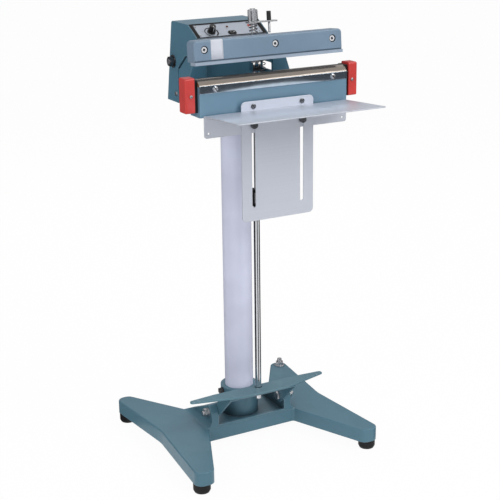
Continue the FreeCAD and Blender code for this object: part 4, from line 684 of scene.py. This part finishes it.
def pan_screw(radius, height, length, turned):
    """A slotted head with its shank below the seat; the shank is under half as wide as the head."""
    head = slotted_head(radius, height, radius * SLOT_SHARE, height * SLOT_DEPTH, turned)
    core = radius * 0.46
    tip = [(core, 0.6 - length), (core * 0.8, -length), (0, -length)]
    return joined(head, turned_shape([(0, 0.2), (core, 0.2), *tip], 24))


def plate(outline, low, high):
    """A flat outline carried from low to high, closed at both ends by fans to its middle."""
    middle = np.broadcast_to(outline.mean(axis=0), outline.shape)
    heights = np.broadcast_to(np.array([low, low, high, high])[:, None, None], (4, len(outline), 1))
    return skin(np.concatenate([np.stack([middle, outline, outline, middle]), heights], axis=-1))


def slot_floor(radius, height, turned):
    """A thin dark plate on the floor of a pan screw's slot: painted shade."""
    half, reach = radius * SLOT_SHARE / 2, radius * 0.96
    outline = SQUARE[:, :2] * (half, reach)
    level = height * (1 - SLOT_DEPTH)
    return plate(outline @ rotation(turned), level - 0.1, level + 0.08)


print("slotted screw shapes ready")

# %% Slotted screws
LARGE_PAN = (5, 2.6, 12)
CAP_PAN = (2.9, 2.6, 12)
PANEL_PAN = (2.4, 1.6, 4)
COVER_PAN = (5, 3.5, 8)


def slotted_screws(name, seat, places, sizes, finish, stands_for=()):
    """Pan screws of one radius, height and length at places, each a facing, a spot and a turn. The
    painted shade in their slots is a second piece."""
    screws = [faced(pan_screw(*sizes, turned), way, spot) for way, spot, turned in places]
    fitted(name, seat, screws, finish, "stand", stands_for)
    slot_shades = [faced(slot_floor(*sizes[:2], turned), way, spot) for way, spot, turned in places]
    # the thin dark plates in the slots are painted shade
    fitted(name + "_slot_shade", seat, slot_shades, black_steel, "stand")


def front_pair(x, y, z, left_turn, right_turn):
    """Two places that face the front, at the same distance from the machine's middle."""
    return [("front", (-x, y, z), left_turn), ("front", (x, y, z), right_turn)]


slotted_screws("apron_slotted_screws", HEAD, front_pair(54, -157, 36, 42, 68), LARGE_PAN, dark_plate,
               ["apron_screws"])
slotted_screws("jaw_slotted_screws", HEAD, front_pair(130, -148.6, 75.5, 38, 52), LARGE_PAN, zinc,
               ["jaw_screws_small"])
slotted_screws("cap_slotted_screws", HEAD, front_pair(178.5, -143, 64.4, 30, -40), CAP_PAN, zinc)
panel_places = [("up", (x, y, PANEL_TOP), 25 + x + y) for x in (-68, 68) for y in (9, 38)]
slotted_screws("panel_slotted_screws", PANEL, panel_places, PANEL_PAN, zinc, ["panel_screws"])
cover_places = [(way, (side * 82, 125, 18.7), 20) for side, way in SIDES]
slotted_screws("cover_slotted_screws", HEAD, cover_places, COVER_PAN, zinc, ["cover_screws"])

# %% [markdown]
# ## Socket screws
# Three socket-head screws sit in round recesses along the upper jaw. Such a head is a plain cylinder
# with a hexagon pressed into it for the key. One polar grid makes it: the rim is round, and the line
# inside it follows the hexagon down to the socket's floor.


# %% Jaw screws
def hexagon_reach(corner, angle):
    """The distance to a hexagon's edge: within each sixth it is a/cos(angle − 30°), with a the distance
    to the middle of a flat."""
    return corner * math.cos(math.pi / 6) / np.cos(np.mod(angle, np.pi / 3) - np.pi / 6)


def socket_screw(radius, core, length, height, socket, depth):
    """Rings from the seat's middle out to the rim, up it, in to the hexagon and down to its floor."""
    angle = full_turn(72)
    hole, zero = hexagon_reach(socket, angle), np.zeros_like(angle)
    reach = np.stack([zero, zero + radius, zero + radius, zero + radius - 0.5, hole, hole, zero])
    level = np.array([0, 0, height - 0.5, height, height, height - depth, height - depth])
    head = skin(polar(reach, angle, level[:, None]))
    return joined(head, turned_shape([(0, 0.2), (core, 0.2), (core, -length), (0, -length)], 24))


def socket_floor(height, socket, depth):
    """A thin dark hexagon on the floor of the socket: painted shade."""
    outline = polar(socket * 0.99, full_turn(6), 0)[:, :2]
    return plate(outline, height - depth - 0.2, height - depth + 0.1)


JAW_SCREW_SPOTS = [(x, -265, 38.5) for x in (-141, 12, 141)]
JAW_SOCKET = {"height": 4.5, "socket": 3.2, "depth": 2.25}
jaw_screw = socket_screw(radius=5.8, core=2.95, length=24, **JAW_SOCKET)
jaw_screws = [faced(jaw_screw, "front", spot) for spot in JAW_SCREW_SPOTS]
fitted("jaw_socket_screws", ARM, jaw_screws, bright_zinc, "press_arm", ["jaw_screws"])
# a thin dark hexagon on each socket's floor is painted shade
socket_shades = [faced(socket_floor(**JAW_SOCKET), "front", spot) for spot in JAW_SCREW_SPOTS]
fitted("jaw_screw_socket_shade", ARM, socket_shades, black_steel, "press_arm")

# %% [markdown]
# ## Thumb screws
# The shelf is held by two thumb screws with a dark plating in the apron's slots. Their grip is a
# straight knurl, a cosine on the radius, which fades out into a chamfer at both ends.


# %% Knurled thumb screws
def knurled_head(radius, height, teeth, depth):
    """Radius at angle a is R − depth·w·(1 − cos(teeth·a))/2, with w one on the grip and nought on
    the ends; the profile also has a dished front."""
    rows = np.array([(0.0, 0.0, 0), (0.84, 0.0, 0), (1.0, 0.10, 0.4), (1.0, 0.16, 1), (1.0, 0.84, 1),
                     (0.97, 0.9, 0.4), (0.86, 1.0, 0), (0.56, 1.0, 0), (0.5, 0.92, 0), (0.0, 0.92, 0)])
    angle = full_turn(teeth * 6)
    ripple = depth * (1 - np.cos(teeth * angle)) / 2
    reach = radius * rows[:, :1] - rows[:, 2:] * ripple
    return skin(polar(reach, angle, height * rows[:, 1:2]))


def thumb_screw(core, length):
    """A knurled head on a plain shank with a chamfered tip."""
    tip = [(core, 0.5 - length), (core - 0.45, -length), (0, -length)]
    shank = turned_shape([(0, 0.1), (core, 0.1), *tip], 32)
    return joined(knurled_head(radius=7, height=7, teeth=26, depth=0.55), shank)


thumb_screws = [faced(thumb_screw(core=2.95, length=8.6), "front", (x, -157.3, 0)) for x in (-54, 54)]
fitted("thumb_screws", HEAD, thumb_screws, dark_plate, "shelf", ["clamp_screws"])

# %% [markdown]
# ## The pressure knob
# A plated knob on the stud sets how hard the jaws press. Its grip is turned smooth and then grooved by a
# narrow round cutter, so plain lands are left that mirror the room in broad stripes. A full wave round the
# rim would break those stripes up, so the grooves here are only the tops of a cosine.


# %% Grooved grip
def grooved_grip(radius, height, bore, grooves, depth):
    """Radius at angle a is R − depth·w·max(0, 2·cos(grooves·a) − 1), with w one on the grip."""
    rows = np.array([(bore, 0, 0), (radius - 0.4, 0, 0), (radius, 0.4, 1), (radius, height - 1.5, 1),
                     (radius - 1.5, height, 0.2), (bore, height, 0)])
    angle = full_turn(grooves * 16)
    groove = depth * np.maximum(0, 2 * np.cos(grooves * angle) - 1)
    reach = rows[:, :1] - rows[:, 2:] * groove
    return skin(polar(reach, angle, rows[:, 1:2]), round_rows=True)


KNOB_FOOT = 80
grip = grooved_grip(radius=10, height=23, bore=5.05, grooves=20, depth=0.7)
fitted("pressure_grip", ARM, [faced(grip, "up", (0, STUD_Y, KNOB_FOOT))], knob_chrome,
       "pressure_knob_body", ["pressure_knob"], 35)

# %% [markdown]
# ## Nuts, washers and threads
# A bought nut is a hexagon whose corners are turned off at 30 degrees, which leaves a bright round face
# and six curved shoulders. Both come from one grid: the rim follows the hexagon, and its height falls
# by how far the rim stands outside the round face. Thread on a bolt's end is a tube whose radius rises
# and falls once a pitch and shifts by one pitch in each turn.


# %% Nut, washer and thread
def hex_nut(corner, height, bore):
    """The rim follows a hexagon. With a the flat's distance, a height is the nut's own, less
    (rim − 0.95·a)·tan 30° where the rim is outside the round face."""
    angle = full_turn(72)
    rim = hexagon_reach(corner, angle)
    face = np.full_like(rim, corner * math.cos(math.radians(30)) * 0.95)
    drop = (rim - face) * math.tan(math.radians(30))
    hole, zero = np.full_like(rim, bore), np.zeros_like(rim)
    reach = np.stack([hole, hole + 0.5, face, rim, rim, face, hole + 0.5, hole])
    level = np.stack([zero + 0.5, zero, zero, drop, height - drop, zero + height, zero + height,
                      zero + height - 0.5])
    return skin(polar(reach, angle, level), round_rows=True)


def washer(inner, outer, thickness):
    """A flat ring with its outer edges broken."""
    edge = 0.3
    return turned_shape([(inner, 0), (outer - edge, 0), (outer, edge), (outer, thickness - edge),
                         (outer - edge, thickness), (inner, thickness)], 64)


def thread(radius, crest, pitch, length):
    """Radius is the core plus crest·|2·frac(z/pitch − a/2π) − 1|, and sinks into the core at both
    ends."""
    angle = full_turn(40)
    height = np.linspace(0, length, int(length / pitch * 8) + 1)
    wave = np.abs(2 * np.mod(height[:, None] / pitch - angle / (2 * np.pi), 1) - 1)
    fade = np.clip(np.minimum(height, length - height) / pitch * 2, 0, 1)[:, None]
    inside = np.full((1, len(angle)), 0.8 * radius)
    reach = np.concatenate([inside, radius + 0.02 + crest * wave * fade, inside])
    level = np.concatenate([[0], height, [length]])[:, None]
    return skin(polar(reach, angle, level), round_rows=True)


print("nut, washer and thread ready")

# %% Nuts on the two cross bolts
WASHER = 2
PEDAL_BOLT = (-19, 81)


def washered_nuts(bore, rim, corner, height, x, line):
    """A nut on its washer at each end of a cross bolt; line is the bolt's y and z."""
    nut = faced(hex_nut(corner, height, bore), "up", (0, 0, WASHER))
    pair = joined(washer(bore, rim, WASHER), nut)
    return [faced(pair, way, (side * x, *line)) for side, way in SIDES]


pedal_nuts = washered_nuts(bore=5.15, rim=10.5, corner=9.8, height=8, x=98, line=PEDAL_BOLT)
fitted("pedal_nuts", STAND, pedal_nuts, zinc, "stand", ["pedal_pivot_nuts"], 25)
arm_nuts = washered_nuts(bore=6.15, rim=13.5, corner=11, height=9, x=82, line=(SHAFT_Y, SHAFT_Z))
fitted("arm_nuts", HEAD, arm_nuts, dark_plate, "stand", ["pivot_nuts"], 25)

# %% Threads and the rod's nut
BOLT_THREAD = (5, 0.3, 1.5)
ROD_THREAD = (6.5, 0.35, 1.75)
STOP_THREAD = (2.2, 0.22, 0.9)


def upright(node):
    """The middle of a CAD node's foot, and the node's height, in millimetres."""
    low, high = (np.array(corner) * 1000 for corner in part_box(node))
    middle = (low + high) / 2
    return np.array([middle[0], middle[1], low[2]]), high[2] - low[2]


def threaded(name, seat, sizes, length, places, finish, body):
    """Lengths of one thread, given by core, crest and pitch, at places that are a facing and a spot."""
    shapes = [faced(thread(*sizes, length), way, spot) for way, spot in places]
    fitted(name, seat, shapes, finish, body, sharp=60)


bolt_ends = [(way, (side * 108, *PEDAL_BOLT)) for side, way in SIDES]
threaded("pedal_bolt_threads", STAND, BOLT_THREAD, 4, bolt_ends, zinc, "stand")
rod_spot, rod_nut_height = upright("rod_nut")
rod_end_nut = hex_nut(corner=11, height=rod_nut_height, bore=6.7)
fitted("rod_end_nut", WORLD, [faced(rod_end_nut, "up", rod_spot)], zinc, "pull_linkage",
       ["rod_nut"], 25)
threaded("rod_end_thread", WORLD, ROD_THREAD, 8.6, [("up", rod_spot - (0, 0, 8.8))], chrome,
         "pull_linkage")
level_spot, level_height = upright("levelling_bolt")
threaded("levelling_thread", WORLD, BOLT_THREAD, 8, [("up", level_spot + (0, 0, level_height - 8.2))],
         zinc, "stand")
threaded("stop_screw_thread", ARM, STOP_THREAD, 20, [("up", (36, STUD_Y, 56.4))], zinc, "stop_screw_body")

# %% [markdown]
# ## Springs
# Two coil springs work in the head: one under the pressure knob and one that lifts the arm. A spring is
# a small circle carried along a helix. Its last turn at each end lies flat on its seat, so the climb is
# slow there and quick in between. When the arm or the stud moves, the real wire closes up; here each
# spring only gets a mesh of its own.


# %% Coil springs
def coil(radius, wire, length, turns):
    """The wire's centre climbs with t as a smooth blend of flat ends and an even middle; a ring of
    points stands on the radial direction and on the normal across it."""
    t = np.linspace(0, 1, int(turns * 40) + 1)
    flat = 0.8 / turns
    rate = 0.35 + 0.65 * np.clip(np.minimum(t, 1 - t) / flat - 0.4, 0, 1)
    climb = np.concatenate([[0], np.cumsum((rate[1:] + rate[:-1]) / 2)])
    height = wire + climb / climb[-1] * (length - 2 * wire)
    angle = 2 * np.pi * turns * t
    centre = polar(radius, angle, height)
    way = np.gradient(centre, axis=0)
    way /= np.linalg.norm(way, axis=1)[:, None]
    out = polar(1.0, angle, 0.0)
    side = np.cross(way, out)
    ring = full_turn(14)[None, :, None]
    size = np.full((len(t), 1, 1), wire)
    size[[0, -1]] = 0
    return skin(centre[:, None] + size * (np.cos(ring) * out[:, None] + np.sin(ring) * side[:, None]))


ARM_DECK = 36
pressure_wire = coil(radius=7.4, wire=1.2, length=40.2, turns=7)
pressure = fitted("pressure_coil", ARM, [faced(pressure_wire, "up", (0, STUD_Y, ARM_DECK + 0.4))],
                  spring_steel, "press_arm", ["pressure_spring"], 60)
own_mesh(pressure)
lift_spot, lift_length = upright("return_spring")
lift_wire = coil(radius=5.6, wire=0.9, length=lift_length, turns=9)
lift = fitted("arm_lift_coil", WORLD, [faced(lift_wire, "up", lift_spot)], spring_steel, "stand",
              ["return_spring"], 60)
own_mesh(lift)

# %% [markdown]
# ## The sealing cloth
# A strip of coated glass cloth is stretched over the heating ribbon and tucked behind the clamp strip.
# It is thin enough to be one surface: the section of the crown carried along the jaw. It sinks a little
# over the ribbon's groove and has the faint ripple of cloth that has been hot many times.

# %% Sealing cloth
CLOTH_HALF = 163
CLOTH_DROP = 1.9
CROWN_Y = -127
CROWN_TOP = 94.6
CROWN_HALF = 20.0
CROWN_RISE = 11.6
RIBBON_HALF = 3.1


def sealing_cloth(columns=220, rows=70):
    """Section: an arc of radius (w² + h²)/2h over the crown, with a straight drop on each side. The
    cloth sinks along the arc's radius by 0.2 mm within the ribbon's width and by a soft ripple."""
    radius = (CROWN_HALF ** 2 + CROWN_RISE ** 2) / (2 * CROWN_RISE)
    swing = math.asin(CROWN_HALF / radius)
    angle = np.linspace(-swing, swing, rows)[:, None]
    x = np.linspace(-CLOTH_HALF, CLOTH_HALF, columns)
    groove = 0.2 / (1 + np.exp((np.abs(radius * angle) - RIBBON_HALF) * 6))
    ripple = 0.05 * (1 + np.sin(x / 9.5 + 3 * angle) * np.sin(x / 23 - 2 * angle))
    reach = radius - (groove + ripple)
    y = CROWN_Y + reach * np.sin(angle)
    z = CROWN_TOP - radius + reach * np.cos(angle)
    foot = np.full((1, columns), CROWN_TOP - CROWN_RISE - CLOTH_DROP)
    y = np.concatenate([y[:1], y, y[-1:]])
    z = np.concatenate([foot, z, foot])
    points = np.stack([np.broadcast_to(x, y.shape), y, z], axis=-1)
    return skin(points, round_columns=False), 2 * (radius * swing + CLOTH_DROP)


(cloth_points, cloth_quads), cloth_width = sealing_cloth()
cloth_shape = (HEAD.at(cloth_points), cloth_quads[:, ::-1])
cloth = put_mesh("sealing_cloth", cloth_shape, seal_cloth, sharp=70, turn_out=False)
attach(cloth, "stand")
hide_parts("seal_skin")
print("cloth", round(cloth_width, 1), "mm wide")

# %% [markdown]
# ## Control panel
# The timer has a printed scale: a wedge that widens as the time gets longer, with a tick and a number
# at each step. Print is a film of ink, so these are thin flat grids a few hundredths of a millimetre
# over the panel. The numbers are Blender text, made into meshes and set in place point by point.

# %% Printed scale
TIMER = np.array([-40.6, 17.6, PANEL_TOP])
INK = 0.05
INK_FILM = 0.00003
STEPS = 9
DIAL_START, DIAL_END = 240, -60
WEDGE_INNER = 12.6
WEDGE_OUTER = np.linspace(14.2, 16.0, 90)
TICK_INNER, TICK_OUTER = 16.6, 17.8
TICK_HALF = 0.9


def flat_band(inner, outer, start, end, steps):
    """A flat band between two radii, which may change along it; the bearing runs from start to end."""
    bearing = np.radians(np.linspace(start, end, steps))
    reach = np.stack([np.broadcast_to(inner, steps), np.broadcast_to(outer, steps)])
    return skin(polar(reach, bearing, INK), round_columns=False)


def film(piece, thickness, offset):
    """Gives a flat piece a thickness in metres; offset nought spreads it to both sides."""
    coat = piece.modifiers.new("film", "SOLIDIFY")
    coat.thickness = thickness
    coat.offset = offset


def inked(name, shapes, material, body):
    """A printed piece of the panel: flat shapes with the thickness of a film of ink."""
    film(fitted(name, PANEL, shapes, material, body), INK_FILM, offset=0)


bearings = np.linspace(DIAL_START, DIAL_END, STEPS)
scale_marks = [flat_band(WEDGE_INNER, WEDGE_OUTER, DIAL_START, DIAL_END, len(WEDGE_OUTER))]
scale_marks += [flat_band(TICK_INNER, TICK_OUTER, bearing - TICK_HALF, bearing + TICK_HALF, 2)
                for bearing in bearings[1:-1]]
inked("timer_scale", [faced(mark, "up", TIMER) for mark in scale_marks], printed_black, "stand")

# %% Printed numbers
NUMBER_REACH = 19.6
NUMBER_SIZE = 3.2


def printed_number(text, spot):
    """Text turned into a flat mesh, centred on a spot of the panel."""
    letters = bpy.data.curves.new("number", "FONT")
    letters.body, letters.size = text, NUMBER_SIZE
    letters.align_x = letters.align_y = "CENTER"
    carrier = placed("number", letters)
    mesh = bpy.data.meshes.new_from_object(carrier.evaluated_get(bpy.context.evaluated_depsgraph_get()))
    bpy.data.objects.remove(carrier)
    flat = np.zeros(len(mesh.vertices) * 3)
    mesh.vertices.foreach_get("co", flat)
    mesh.vertices.foreach_set("co", PANEL.at(flat.reshape(-1, 3) + spot).ravel())
    return mesh


for step in range(1, STEPS - 1):
    spot = TIMER + polar(NUMBER_REACH, math.radians(bearings[step]), INK)
    digit = placed(f"timer_number_{step}", printed_number(str(step), spot))
    digit.data.materials.clear()
    digit.data.materials.append(printed_black)
    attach(digit, "stand")
print(STEPS - 2, "numbers printed")

# %% [markdown]
# The knob carries a white pointer that runs up its side and over its top, and the rocker has the usual
# line and ring for on and off. They ride on the knob and on the rocker, so they turn with them.

# %% Pointer and switch marks
POINTER_HALF = 0.55
path_reach = np.array([6.56, 6.56, 6.45, 0.9])
path_height = np.array([2.9, 15.1, 15.55, 15.55])
pointer_edges = np.array([[-POINTER_HALF], [POINTER_HALF]])
pointer = np.stack(np.broadcast_arrays(pointer_edges, -path_reach, path_height), axis=-1)
inked("timer_pointer", [skin(pointer + TIMER, round_columns=False)], printed_white, "timer_knob_body")
ROCKER = np.array([3.7, 10.2, 0.0])
ROCKER_MIDDLE = 0.733
ROCKER_SLOPE = 0.1445
MARK_X = 3.6
BAR_HALF = (0.25, 1.4, 0)


def on_rocker(shape, x):
    """A flat mark laid on the rocker's sloping half: its height is the middle's plus slope·|x|."""
    points = shape[0] + (x, 0, 0)
    points[:, 2] = ROCKER_MIDDLE + ROCKER_SLOPE * np.abs(points[:, 0]) + INK
    return points + ROCKER, shape[1]


switch_marks = [on_rocker((SQUARE * BAR_HALF, ONE_QUAD), -MARK_X),
                on_rocker(flat_band(0.85, 1.3, 0, 360, 33), MARK_X)]
inked("switch_marks", switch_marks, printed_white, "rocker_body")

# %% [markdown]
# The two indicator lamps are domed lenses in plated collars. A dome is a quarter of an ellipse carried
# round its axis.

# %% Indicator lamps
DOME_LOW, DOME_HIGH = 0.8, 3.0
LAMPS = (("power_lamp", 0.3, 30, 2.6, amber_lens, "amber_lens"),
         ("heat_lamp", 50.5, 28.8, 3.6, red_lens, "red_lens"))


def lens_dome(radius):
    """A short cylinder with a dome on it."""
    swing = np.linspace(np.pi / 2, 0, 10)
    height = DOME_LOW + (DOME_HIGH - DOME_LOW) * np.cos(swing)
    profile = np.stack([radius * np.sin(swing), height], axis=-1)
    return turned_shape(np.concatenate([[(0, 0), (radius, 0)], profile]), 40)


def lamp_collar(radius):
    """A flat plated ring round the lens, with its outer edge broken."""
    inner, outer = radius + 0.05, radius + 1.2
    return turned_shape([(inner, 0), (outer, 0), (outer, 0.5), (radius + 0.9, 0.8), (inner, 0.8)], 40)


for name, x, y, radius, lens_finish, slot in LAMPS:
    spot = (x, y, PANEL_TOP)
    fitted(name + "_lens", PANEL, [faced(lens_dome(radius), "up", spot)], lens_finish, "stand", [name])
    fitted(name + "_collar", PANEL, [faced(lamp_collar(radius), "up", spot)], zinc, "stand")

# %% [markdown]
# ## A plain label on the upper jaw
# A pale adhesive label sits near the jaw's left end. A flat box would stand off the metal, so the label
# is a thin sheet that follows the face and bends over the jaw's rounded top edge: a profile carried
# along the jaw.

# %% Blank label
LABEL_BEND = 3.62
LABEL_FILM = 0.0001
EDGE_Y, EDGE_Z = -267.5, 53


def label_sheet(left, right, low):
    """Profile: straight up the face, then an arc round the centre of the jaw's rounded edge."""
    bend = np.radians(np.linspace(180, 112, 10))
    face = EDGE_Y - LABEL_BEND
    y = np.concatenate([[face, face], EDGE_Y + LABEL_BEND * np.cos(bend)])
    z = np.concatenate([[low, 40.0], EDGE_Z + LABEL_BEND * np.sin(bend)])
    x = np.linspace(left, right, 8)[:, None]
    return skin(np.stack(np.broadcast_arrays(x, y, z), axis=-1), round_columns=False)


label_shape = label_sheet(left=-127.5, right=-101.8, low=18.9)
label = fitted("blank_label", ARM, [label_shape], blank_label, "press_arm")
film(label, LABEL_FILM, offset=-1)
